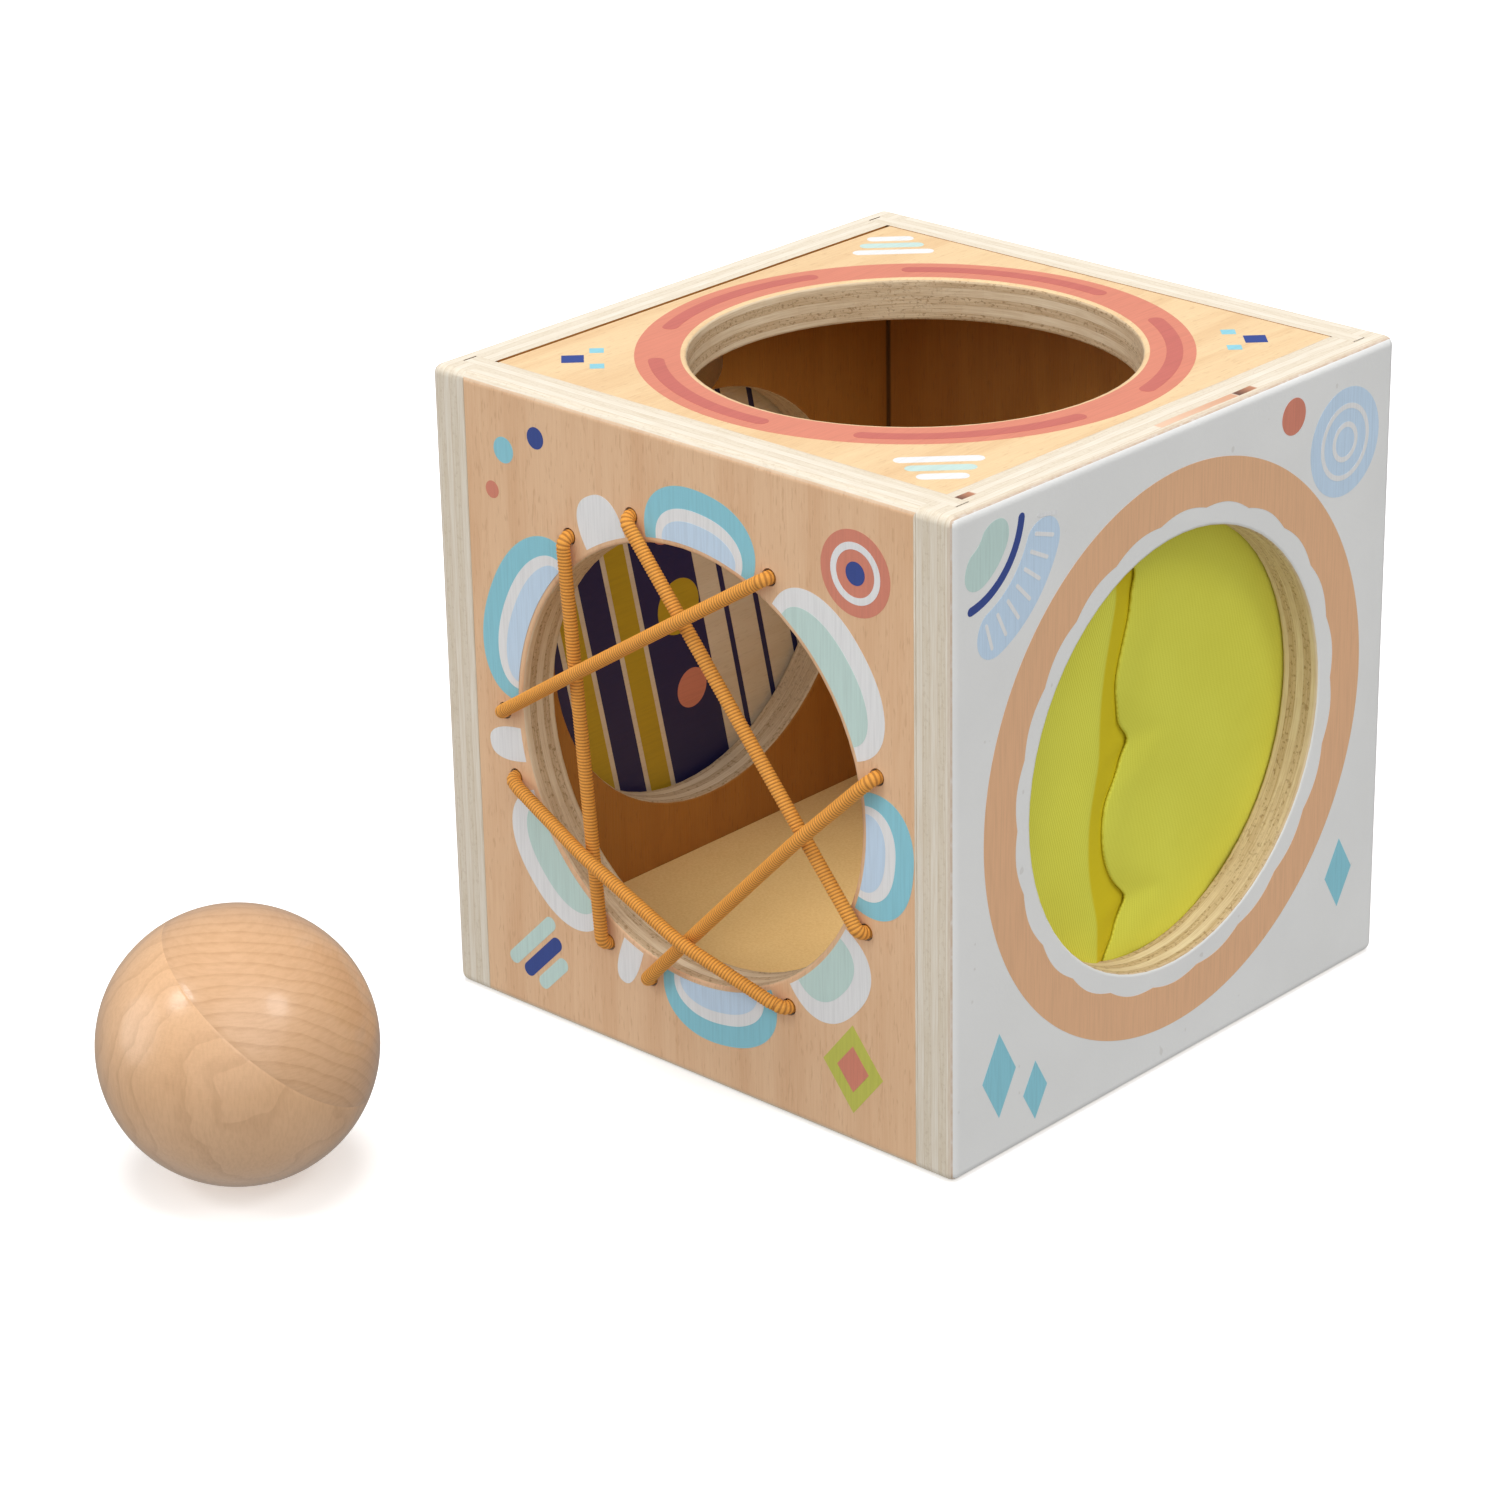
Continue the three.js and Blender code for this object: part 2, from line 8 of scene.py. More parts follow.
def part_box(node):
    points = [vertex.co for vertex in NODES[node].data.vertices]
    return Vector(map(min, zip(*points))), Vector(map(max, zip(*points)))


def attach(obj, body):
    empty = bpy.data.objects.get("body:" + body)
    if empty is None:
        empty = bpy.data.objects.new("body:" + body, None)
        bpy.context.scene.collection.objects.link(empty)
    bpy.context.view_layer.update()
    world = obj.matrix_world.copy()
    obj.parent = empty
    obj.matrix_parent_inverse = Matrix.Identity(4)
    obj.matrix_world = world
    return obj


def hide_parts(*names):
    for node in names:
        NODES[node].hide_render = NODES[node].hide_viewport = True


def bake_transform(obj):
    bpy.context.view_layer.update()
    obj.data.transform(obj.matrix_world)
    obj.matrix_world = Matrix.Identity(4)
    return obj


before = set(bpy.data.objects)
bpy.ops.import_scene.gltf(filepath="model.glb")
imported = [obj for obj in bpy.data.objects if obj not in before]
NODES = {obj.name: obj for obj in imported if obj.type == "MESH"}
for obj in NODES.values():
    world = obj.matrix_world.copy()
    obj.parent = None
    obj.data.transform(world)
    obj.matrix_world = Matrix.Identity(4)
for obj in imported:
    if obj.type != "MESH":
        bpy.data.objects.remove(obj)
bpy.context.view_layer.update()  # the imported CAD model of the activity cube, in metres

MM = 0.001
X, Y, Z = 0, 1, 2

# Sizes that repeat the CAD model
HALF = 75 * MM  # from the cube's middle to its faces
WALL = 10 * MM
INNER = HALF - WALL
MIDDLE = 75 * MM  # height of the openings' middle
HOLE_RADIUS = 50 * MM
CORD_RADIUS = 1.6 * MM
CORD_CLEARANCE = 0.4 * MM
LACE_CIRCLE = 56 * MM
LACE_HOLE_DEGREES = [127, 105.3, 63.5, 13.7, -24.6, -59.2, -103.2, -117.3, -161.8, -177.8]
LACE_ORDER = [2, 9, 8, 5, 4, 1, 0, 7, 6, 3]
LACE_OVER = [[0, 2], [0, 3], [1, 3], [1, 4], [4, 2]]
LACE_LAYERS = [2, 3, 4, 0, 1]  # from the lowest run to the highest
KNOT_RADIUS = 3.4 * MM
KNOT_LENGTH = 9 * MM
CURTAIN_FOLD = 41 * MM
BALL_LOW, BALL_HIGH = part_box("ball")
BALL_MIDDLE = (BALL_LOW + BALL_HIGH) / 2
BALL_RADIUS = (BALL_HIGH.z - BALL_LOW.z) / 2
RING_INSIDE = 60 * MM
RING_THICKNESS = 4 * MM
DOOR_OUTSIDE = -81.2 * MM
DOOR_THICKNESS = 5 * MM
DOOR_INSIDE = -76.2 * MM

# Looks
RIB_PITCH = 0.74 * MM
RIB_DEPTH = 0.18 * MM
INK = 0.04 * MM  # thickness of one coat of print
CLOTH = 0.7 * MM
SMOOTH_BELOW = math.radians(50)

# Camera of the photograph, and its white surroundings
AZIMUTH = math.radians(43.25)
ELEVATION = math.radians(23.53)
ROLL = math.radians(-1.13)
DISTANCE = 1.101
AIM = Vector((-51.91, 0, 39.48)) * MM
LENS = 112.2
SENSOR_WIDTH = 36
WORLD_STRENGTH = 0.3


# Camera and light

def add_camera():
    back = Vector((
        math.sin(AZIMUTH) * math.cos(ELEVATION),
        -math.cos(AZIMUTH) * math.cos(ELEVATION),
        math.sin(ELEVATION),
    ))
    level = Vector((math.cos(AZIMUTH), math.sin(AZIMUTH), 0))
    upright = back.cross(level)
    right = math.cos(ROLL) * level + math.sin(ROLL) * upright
    up = back.cross(right)
    data = bpy.data.cameras.new("photo_camera")
    data.lens = LENS
    data.sensor_width = SENSOR_WIDTH
    camera = bpy.data.objects.new("photo_camera", data)
    bpy.context.scene.collection.objects.link(camera)
    turned = Matrix((right, up, back)).transposed().to_4x4()
    camera.matrix_world = Matrix.Translation(AIM + back * DISTANCE) @ turned
    bpy.context.scene.camera = camera


def add_sun(name, towards, strength, angle, gleam=True):
    """A soft sun whose width is angle degrees; without gleam it leaves no highlight."""
    data = bpy.data.lights.new(name, "SUN")
    data.energy = strength
    data.angle = math.radians(angle)
    light = bpy.data.objects.new(name, data)
    bpy.context.scene.collection.objects.link(light)
    light.rotation_mode = "QUATERNION"
    light.rotation_quaternion = Vector(towards).to_track_quat("Z", "Y")
    light.visible_glossy = gleam


def add_light():
    add_sun("key_light", (-0.3, -0.61, 0.73), 0.46, 15)
    add_sun("left_light", (-0.68, -0.7, 0.22), 0.62, 40)
    add_sun("fill_light", (0.66, 0.15, 0.73), 0.4, 18)
    add_sun("fill_halo", (0.66, -0.25, 0.71), 0.6, 55)
    add_sun("camera_light", (0.63, -0.67, 0.4), 0.56, 80)
    add_sun("top_light", (0, 0, 1), 1.72, 34, gleam=False)
    add_sun("bounce_light", (0.14, -0.25, -0.96), 0.35, 100)
    world = bpy.data.worlds.new("studio")
    world.use_nodes = True
    background = world.node_tree.nodes["Background"]
    background.inputs["Color"].default_value = (1, 1, 1, 1)
    background.inputs["Strength"].default_value = WORLD_STRENGTH
    scene = bpy.context.scene
    scene.world = world
    scene.view_settings.view_transform = "Standard"


# Node materials

class Shader:
    """One procedural material; methods return the socket that carries their result."""

    def __init__(self, name, **surface):
        self.material = bpy.data.materials.new(name)
        self.material.use_nodes = True
        self.tree = self.material.node_tree
        self.tree.nodes.clear()
        self.surface = self.add("BsdfPrincipled", **surface)
        self.add("OutputMaterial", Surface=self.surface.outputs["BSDF"])
        place = self.add("TexCoord").outputs["Object"]
        self.place = self.vector("SCALE", place, Scale=1 / MM)  # millimetres
        self.normal = self.add("NewGeometry").outputs["True Normal"]

    def add(self, kind, settings=None, **inputs):
        node = self.tree.nodes.new("ShaderNode" + kind)
        for key, value in (settings or {}).items():
            setattr(node, key, value)
        for key, value in inputs.items():
            self.feed(node.inputs[key.replace("_", " ")], value)
        return node

    def feed(self, socket, value):
        if isinstance(value, bpy.types.NodeSocket):
            self.tree.links.new(value, socket)
        elif socket.type == "RGBA":
            socket.default_value = (*value[:3], 1)
        else:
            socket.default_value = value

    def math(self, operation, *values):
        node = self.add("Math", {"operation": operation})
        for socket, value in zip(node.inputs, values):
            self.feed(socket, value)
        return node.outputs[0]

    def times(self, a, b):
        return self.math("MULTIPLY", a, b)

    def line(self, value, slope, start):
        return self.math("MULTIPLY_ADD", value, slope, start)

    def invert(self, share):
        return self.math("SUBTRACT", 1.0, share)

    def weigh(self, a, share_a, b, share_b):
        """a and b, each times its share, added up."""
        return self.line(a, share_a, self.times(b, share_b))

    def blend(self, share, a, b):
        """a where share is 0 and b where it is 1."""
        return self.math("ADD", self.times(b, share), self.times(a, self.invert(share)))

    def vector(self, operation, a, b=None, **inputs):
        node = self.add("VectorMath", {"operation": operation}, **inputs)
        self.feed(node.inputs[0], a)
        if b is not None:
            self.feed(node.inputs[1], b)
        return node.outputs["Value" if operation == "DOT_PRODUCT" else "Vector"]

    def part(self, vector, axis):
        return self.add("SeparateXYZ", Vector=vector).outputs[axis]

    def mix(self, factor, a, b):
        node = self.add("Mix", {"data_type": "RGBA"})
        for index, value in ((0, factor), (6, a), (7, b)):
            self.feed(node.inputs[index], value)
        return node.outputs[2]

    def noise(self, scale, detail=2.0, roughness=0.5, distortion=0.0, place=None):
        """Cells of 1 / scale millimetres; scale is one number or one for each axis."""
        node = self.add(
            "TexNoise", Detail=detail, Roughness=roughness, Distortion=distortion, Scale=1.0
        )
        scale = scale if isinstance(scale, tuple) else (scale, scale, scale)
        place = self.place if place is None else place
        self.feed(node.inputs["Vector"], self.vector("MULTIPLY", place, scale))
        return node.outputs["Fac"]

    def step(self, value, low, high):
        """0 below low, 1 above high and smooth between them."""
        settings = {"interpolation_type": "SMOOTHSTEP"}
        node = self.add("MapRange", settings, Value=value, From_Min=low, From_Max=high)
        return node.outputs[0]

    def set(self, **inputs):
        for key, value in inputs.items():
            self.feed(self.surface.inputs[key.replace("_", " ")], value)

    def bumped(self, height, strength, distance):
        """The finished material, with a relief."""
        node = self.add("Bump", Strength=strength, Distance=distance, Height=height)
        self.set(Normal=node.outputs["Normal"])
        return self.material


def along(axis, near, far):
    """A scale per millimetre that differs along one axis."""
    return tuple(near if i == axis else far for i in range(3))


def wood_grain(shader, axis, light, dark, pore):
    """Colour and height of a veneer whose fibres run along axis."""
    bands = shader.noise(along(axis, 0.011, 0.12), 3.0, 0.5, 0.8)
    fibres = shader.noise(along(axis, 0.06, 2.2), 3.0, 0.6)
    pores = shader.noise(along(axis, 0.3, 1.9), 1.0)
    band_share = shader.step(bands, 0.34, 0.72)
    fibre_share = shader.step(fibres, 0.3, 0.75)
    share = shader.weigh(fibre_share, 0.42, band_share, 0.58)
    pore_share = shader.times(shader.step(pores, 0.6, 0.74), 0.34)
    colour = shader.mix(pore_share, shader.mix(share, light, dark), pore)
    height = shader.math("SUBTRACT", fibre_share, shader.times(pore_share, 2.0))
    return colour, height


# Cut plies: the two tones of the streaks along and across the fibres, on edges and in bores
PLY_SIDE = ((0.845, 0.78, 0.67), (0.745, 0.65, 0.51))
PLY_END = ((0.79, 0.71, 0.585), (0.695, 0.595, 0.445))
BORE_SIDE = ((0.9, 0.76, 0.56), (0.76, 0.58, 0.38))
BORE_END = ((0.7, 0.52, 0.32), (0.48, 0.31, 0.16))
PLY_SPECK = (0.36, 0.22, 0.11)
PLY_GLUE = (0.5, 0.33, 0.18)
PLY_WOBBLE = 0.22  # of the glue lines, in plies
FLAW_HEIGHT = (148.5, 149.5)  # millimetres between which a flaw of the upper edge sets in

# Flaws of the right wall: ply, place along Y from low to high, and the tones at those two ends
# Voids are painted shade: near black where a ply has a hollow, fading towards the far end; streaks
# are the ply's own colour.
VOID_SHADE, SHALLOW_VOID_SHADE = (0.1, 0.02, 0.008), (0.5, 0.2, 0.1)
STREAK, FADED_STREAK = (0.8, 0.52, 0.36), (0.68, 0.36, 0.22)
RIGHT_FLAWS = (
    (1, -65.8, -60.2, VOID_SHADE, SHALLOW_VOID_SHADE),
    (3, -6, 21, STREAK, FADED_STREAK),
    (3, 20.6, 27.6, VOID_SHADE, SHALLOW_VOID_SHADE),
)


def bore_share(shader, axis):
    """1 in the round opening of a board that lies across axis, 0 on its outer edges."""
    radius = HOLE_RADIUS / MM
    aside = shader.vector("SUBTRACT", shader.place, (0, 0, MIDDLE / MM))
    aside = shader.vector("MULTIPLY", aside, along(axis, 0.0, 1.0))
    length = shader.add("VectorMath", {"operation": "LENGTH"}, Vector=aside).outputs["Value"]
    return shader.invert(shader.step(length, radius + 1, radius + 3))


def add_flaw(shader, colour, depth, ply, low, high, near, far):
    """Colours one ply of the upper edge with a streak of its own colour, and a void with painted
    shade; depth counts the plies.
    """
    y = shader.part(shader.place, Y)
    streak_and_void_shade = shader.math("COMPARE", shader.math("FLOOR", depth), float(ply), 0.5)
    streak_and_void_shade = shader.times(streak_and_void_shade, shader.step(shader.part(shader.place, Z), *FLAW_HEIGHT))
    streak_and_void_shade = shader.times(streak_and_void_shade, shader.step(y, low, low + 0.5))
    streak_and_void_shade = shader.times(streak_and_void_shade, shader.invert(shader.step(y, high - 0.8, high)))
    tone = shader.mix(shader.step(y, low, high), near, far)
    return shader.mix(shader.times(streak_and_void_shade, 0.92), colour, tone)


def ply_edge(shader, axis, start, thickness, plies, grain_axis, flaws=()):
    """Colour and height of cut plies that lie across axis and turn by a right angle each."""
    cross_axis = 3 - axis - grain_axis
    per_mm = plies / thickness
    wobble = shader.noise(along(axis, 0.0, 0.09), 3.0)
    depth = shader.line(shader.part(shader.place, axis), per_mm, -start * per_mm)
    depth = shader.math("SUBTRACT", depth, PLY_WOBBLE / 2)
    depth = shader.line(wobble, PLY_WOBBLE, depth)
    turned = shader.math("MODULO", shader.math("FLOOR", depth), 2.0)
    turned = shader.math("ABSOLUTE", turned)
    along_grain = shader.math("ABSOLUTE", shader.part(shader.normal, grain_axis))
    across_grain = shader.math("ABSOLUTE", shader.part(shader.normal, cross_axis))
    ends = shader.blend(turned, along_grain, across_grain)
    bore = bore_share(shader, axis)
    streaks = shader.noise(along(axis, 3.2, 0.1), 4.0, 0.6)
    specks = shader.noise(along(axis, 1.5, 1.1), 2.0, 0.6)
    speck_share = shader.times(shader.step(specks, 0.52, 0.68), shader.step(ends, 0.35, 0.9))
    speck_share = shader.times(speck_share, shader.line(bore, 1.1, 0.3))
    in_ply = shader.math("FRACT", depth)
    from_glue = shader.math("MINIMUM", in_ply, shader.invert(in_ply))
    glue = shader.times(shader.invert(shader.step(from_glue, 0.0, 0.07)), 0.3)
    streak = shader.step(streaks, 0.3, 0.75)
    side = shader.mix(bore, shader.mix(streak, *PLY_SIDE), shader.mix(streak, *BORE_SIDE))
    end = shader.mix(bore, shader.mix(streak, *PLY_END), shader.mix(streak, *BORE_END))
    colour = shader.mix(shader.times(ends, 0.85), side, end)
    colour = shader.mix(shader.times(speck_share, 0.5), colour, PLY_SPECK)
    colour = shader.mix(glue, colour, PLY_GLUE)
    for flaw in flaws:
        colour = add_flaw(shader, colour, depth, *flaw)
    height = shader.math("SUBTRACT", streaks, shader.times(speck_share, 1.5))
    return colour, height


# Veneers: the light and the dark tone of their bands, and their pores
VENEER = ((0.87, 0.58, 0.355), (0.75, 0.445, 0.245), (0.58, 0.315, 0.155))
LID_VENEER = ((0.89, 0.66, 0.385), (0.78, 0.51, 0.27), (0.6, 0.345, 0.17))
# The inside faces' veneer: their own orange-brown, made much darker and more saturated as painted
# shade of the cube's inside.
SHADED_INNER_VENEER = ((0.47, 0.195, 0.036), (0.39, 0.145, 0.024), (0.28, 0.095, 0.014))
DOOR_VENEER = ((0.8, 0.66, 0.49), (0.72, 0.57, 0.4), (0.6, 0.45, 0.3))
CORNER_JOINT = (63.9, 64.6)  # millimetres from the middle, where a dark joint sets in
JOINT_TONE = (0.06, 0.026, 0.01)
WHITE_PAINT = (0.86, 0.86, 0.845)
WORN_ARRIS = (0.5, 0.31, 0.2)
DUST = (0.45, 0.4, 0.34)


def shaded_inner_face(shader, axis, grain_axis):
    """Colour of a face inside the cube: the veneer darkened as painted shade, with the joint lines
    of the upright corners.
    """
    colour, _ = wood_grain(shader, grain_axis, *SHADED_INNER_VENEER)
    if axis != Z:
        aside = shader.math("ABSOLUTE", shader.part(shader.place, 1 - axis))
        corner = shader.step(aside, *CORNER_JOINT)
        colour = shader.mix(shader.times(corner, 0.8), colour, JOINT_TONE)
    return colour


def paint_over(shader, paint, facing, colour, height, rough):
    """Lays paint where facing is near 1; it ends in a ragged line and a brown worn arris."""
    ragged = shader.noise(0.5, 3.0)
    reach = shader.line(ragged, 0.07, facing)
    painted = shader.step(reach, 0.62, 0.68)
    arris = shader.times(shader.step(reach, 0.34, 0.56), 0.6)
    colour = shader.mix(arris, colour, WORN_ARRIS)
    clouds = shader.noise(0.03, 3.0)
    dust = shader.step(shader.noise(0.33, 1.0), 0.76, 0.8)
    coat = shader.mix(shader.step(clouds, 0.3, 0.7), paint, tuple(0.955 * c for c in paint))
    coat = shader.mix(shader.times(dust, 0.25), coat, DUST)
    colour = shader.mix(painted, colour, coat)
    peel = shader.noise(1.3)
    height = shader.blend(painted, height, peel)
    rough = shader.line(painted, -0.12, rough)
    return colour, height, rough


def plywood(
    name, axis, start, thickness, grain_axis,
    plies=5, tones=VENEER, inside=0, paint=None, paint_side=0, flaws=(),
):
    """Veneered board with cut plies on its edges; start and thickness in metres along axis."""
    shader = Shader(name)
    face, face_height = wood_grain(shader, grain_axis, *tones)
    edge, edge_height = ply_edge(
        shader, axis, start / MM, thickness / MM, plies, grain_axis, flaws
    )
    facing = shader.part(shader.normal, axis)
    # Faces inside the cube take the painted shade of the inside.
    if inside:
        inwards = shader.step(shader.times(facing, float(inside)), 0.4, 0.6)
        face = shader.mix(inwards, face, shaded_inner_face(shader, axis, grain_axis))
    on_face = shader.step(shader.math("ABSOLUTE", facing), 0.86, 0.92)
    colour = shader.mix(on_face, edge, face)
    height = shader.blend(on_face, edge_height, face_height)
    rough = shader.line(on_face, -0.3, 0.74)
    if paint:
        towards_paint = shader.line(facing, float(paint_side), -0.035)
        colour, height, rough = paint_over(shader, paint, towards_paint, colour, height, rough)
    shader.set(Base_Color=colour, Roughness=rough)
    return shader.bumped(height, 0.35, 0.12 * MM)


def fibreboard():
    shader = Shader("fibreboard", Roughness=0.8)
    fleck = shader.noise(1.6, 3.0, 0.7)
    cloud = shader.noise(0.05)
    share = shader.weigh(shader.step(fleck, 0.3, 0.72), 0.6, cloud, 0.4)
    shader.set(Base_Color=shader.mix(share, (0.98, 0.69, 0.3), (0.84, 0.54, 0.21)))
    return shader.bumped(fleck, 0.3, 0.1 * MM)


def elastic():
    """Thread wound round the cord: u goes round it in turns and v along it in millimetres."""
    sheen = {"Sheen_Weight": 0.1, "Sheen_Roughness": 0.4, "Sheen_Tint": (1, 0.7, 0.35)}
    shader = Shader("elastic", Roughness=0.7, **sheen)
    route = shader.add("UVMap", {"uv_map": "route"}).outputs["UV"]
    thread = shader.noise((90.0, 1.6, 1.0), place=route)
    patch = shader.noise(0.12)
    around, reach = shader.part(route, X), shader.part(route, Y)
    turns = shader.line(reach, MM / RIB_PITCH, around)
    rib = shader.math("COSINE", shader.times(turns, 2 * math.pi))
    # Painted shade: the grooves between the thread's turns are darkened.
    groove = shader.times(shader.step(rib, 0.5, -1.0), 0.62)
    share = shader.weigh(shader.step(thread, 0.3, 0.7), 0.4, patch, 0.3)
    colour = shader.mix(share, (0.96, 0.43, 0.07), (0.74, 0.3, 0.042))
    shader.set(Base_Color=shader.mix(groove, colour, (0.27, 0.085, 0.013)))
    return shader.bumped(thread, 0.5, 0.08 * MM)


WALE_PITCH = 0.55  # millimetres
COURSE_PITCH = 0.42


def knit(name, degrees, shade_past_fold=False):
    """Stretch knit on a cloth that faces +X, whose wales lean by some degrees.

    A cloth with a fold gets painted shade past its fold: a darker, more saturated yellow where it
    turns inwards behind the right curtain.
    """
    shader = Shader(name, Roughness=0.85, Specular_IOR_Level=0.15)
    angle = math.radians(degrees)
    across = shader.vector("DOT_PRODUCT", shader.place, (0, math.cos(angle), math.sin(angle)))
    upward = shader.vector("DOT_PRODUCT", shader.place, (0, -math.sin(angle), math.cos(angle)))
    waver = shader.times(shader.noise(0.08), 9.0)
    wale = shader.math("SINE", shader.line(across, 2 * math.pi / WALE_PITCH, waver))
    course = shader.math("SINE", shader.times(upward, 2 * math.pi / COURSE_PITCH))
    height = shader.line(course, 0.3, wale)
    cloud = shader.noise(0.06)
    # Darker where the knit lies low: painted shade in the grooves between wales and courses, mixed
    # with random tone from cloud.
    share = shader.weigh(shader.step(height, -1.2, 0.6), 0.55, cloud, 0.45)
    colour = shader.mix(share, (0.65, 0.63, 0.06), (0.82, 0.82, 0.115))
    if shade_past_fold:
        # Painted shade: past the fold the colour turns to a darker, more saturated yellow.
        past_fold = shader.part(shader.add("UVMap", {"uv_map": "fold"}).outputs["UV"], X)
        turned = shader.times(shader.step(past_fold, -0.3, 1.2), 0.88)
        colour = shader.mix(turned, colour, (0.74, 0.58, 0.007))
    shader.set(Base_Color=colour)
    return shader.bumped(height, 0.24, 0.05 * MM)


def steel():
    shader = Shader("steel", Metallic=1.0)
    scratch = shader.noise((0.4, 3.0, 3.0), 4.0, 0.7)
    shader.set(Base_Color=shader.mix(scratch, (0.66, 0.66, 0.66), (0.55, 0.56, 0.58)))
    shader.set(Roughness=shader.line(scratch, 0.3, 0.2))
    return shader.bumped(scratch, 0.15, 0.03 * MM)


def nylon():
    shader = Shader("nylon", Roughness=0.5)
    cloud = shader.noise(0.5)
    shader.set(Base_Color=shader.mix(cloud, (0.86, 0.85, 0.81), (0.78, 0.77, 0.72)))
    return shader.bumped(cloud, 0.2, 0.05 * MM)


# The ball is turned from two blocks that are glued off its middle
GLUE_NORMAL = Vector((0.454, 0.487, 0.744)).normalized()
GLUE_OFFSET = 0.34  # in ball radii
GLUE_GROOVE = 0.05 * MM
GLUE_HALF_WIDTH = 0.006  # radians
RINGS_BEYOND = Vector((-0.511, 0.545, 0.663)).normalized()
RINGS_BEFORE = Vector((0.819, -0.565, -0.089)).normalized()


def maple():
    shader = Shader("maple", Coat_Weight=0.45, Coat_Roughness=0.16)
    place = shader.vector("SUBTRACT", shader.place, tuple(BALL_MIDDLE / MM))
    warp = shader.noise(0.06, place=place)

    def rings(direction, pitch, sway):
        along_it = shader.vector("DOT_PRODUCT", place, tuple(direction))
        phase = shader.line(warp, sway, shader.math("DIVIDE", along_it, pitch))
        share = shader.math("FRACT", phase)
        late_end = shader.step(shader.invert(share), 0.0, 0.05)
        return shader.times(shader.step(share, 0.55, 0.97), late_end)

    glue = GLUE_OFFSET * BALL_RADIUS / MM
    from_middle = shader.vector("DOT_PRODUCT", place, tuple(GLUE_NORMAL))
    beyond = shader.step(from_middle, glue - 0.05, glue + 0.05)
    ring_a = rings(RINGS_BEYOND, 2.8, 1.3)
    ring_b = rings(RINGS_BEFORE, 5.5, 3.0)
    fleck_a = shader.noise((0.35, 0.35, 2.0), 3.0, 0.6, place=place)
    fleck_b = shader.noise((1.6, 1.6, 0.3), 3.0, 0.6, place=place)
    cloud = shader.noise(0.035, place=place)
    light = shader.mix(cloud, (0.82, 0.52, 0.3), (0.71, 0.415, 0.215))
    tone_a = shader.weigh(shader.step(fleck_a, 0.35, 0.7), 0.25, ring_a, 0.34)
    tone_b = shader.weigh(shader.step(fleck_b, 0.35, 0.7), 0.3, ring_b, 0.42)
    # Block a keeps its own rings and flecks; its darker base tone is painted shade of the ball's
    # side turned from the light.
    side_a_grain_and_shade = shader.mix(tone_a, (0.69, 0.42, 0.235), (0.5, 0.27, 0.13))
    side_b = shader.mix(tone_b, light, (0.6, 0.345, 0.18))
    shader.set(Base_Color=shader.mix(beyond, side_b, side_a_grain_and_shade))
    fleck = shader.math("ADD", fleck_a, fleck_b)
    shader.set(Roughness=shader.line(fleck, 0.12, 0.2))
    return shader.bumped(fleck, 0.3, 0.12 * MM)


def ink(name, colour, grain_axis):
    """Print that lets a little of the grain below show through."""
    shader = Shader(name, Roughness=0.5)
    fibres = shader.noise(along(grain_axis, 0.08, 1.8), 3.0)
    cloud = shader.noise(0.05)
    share = shader.weigh(shader.step(fibres, 0.35, 0.75), 0.6, cloud, 0.4)
    shader.set(Base_Color=shader.mix(share, colour, tuple(0.86 * c for c in colour)))
    return shader.bumped(fibres, 0.25, 0.08 * MM)


# Pieces

def add_piece(name, verts, faces, materials, smooth=True):
    mesh = bpy.data.meshes.new(name)
    mesh.from_pydata([tuple(v) for v in verts], [], faces)
    for material in materials:
        mesh.materials.append(material)
    if smooth:
        mesh.shade_smooth()
    piece = bpy.data.objects.new(name, mesh)
    bpy.context.scene.collection.objects.link(piece)
    return piece


def dress(node, material):
    """Gives a CAD node its material, and smooth shading on its rounded edges and bores."""
    piece = NODES[node]
    piece.data.materials.clear()
    piece.data.materials.append(material)
    piece.data.shade_smooth()
    piece.modifiers.new("weld", "WELD").merge_threshold = 0.002 * MM
    piece.modifiers.new("split", "EDGE_SPLIT").split_angle = SMOOTH_BELOW
    piece.modifiers.new("normals", "WEIGHTED_NORMAL").keep_sharp = True


def dress_box():
    lid_inside = 2 * HALF - WALL
    dress("front_panel", plywood("front_plywood", Y, -HALF, WALL, Z, inside=1))
    dress("back_panel", plywood("back_plywood", Y, INNER, WALL, Z, inside=-1))
    left = plywood(
        "left_plywood", X, -HALF, WALL, Z, inside=1, paint=WHITE_PAINT, paint_side=-1
    )
    dress("left_panel", left)
    right = plywood(
        "right_plywood", X, INNER, WALL, Z,
        inside=-1, paint=WHITE_PAINT, paint_side=1, flaws=RIGHT_FLAWS,
    )
    dress("right_panel", right)
    lid = plywood("top_plywood", Z, lid_inside, WALL, Y, tones=LID_VENEER, inside=-1)
    dress("top_panel", lid)
    dress("floor_panel", fibreboard())
    ring = plywood("ring_plywood", X, RING_INSIDE, RING_THICKNESS, Z, plies=3)
    dress("curtain_ring", ring)
    thin = {"plies": 3, "tones": DOOR_VENEER}
    dress("door_disc", plywood("door_plywood", X, DOOR_OUTSIDE, DOOR_THICKNESS, Y, **thin))
    metal = steel()
    dress("pivot_sleeve", metal)
    dress("pivot_bolt", metal)
    dress("pivot_washer", nylon())


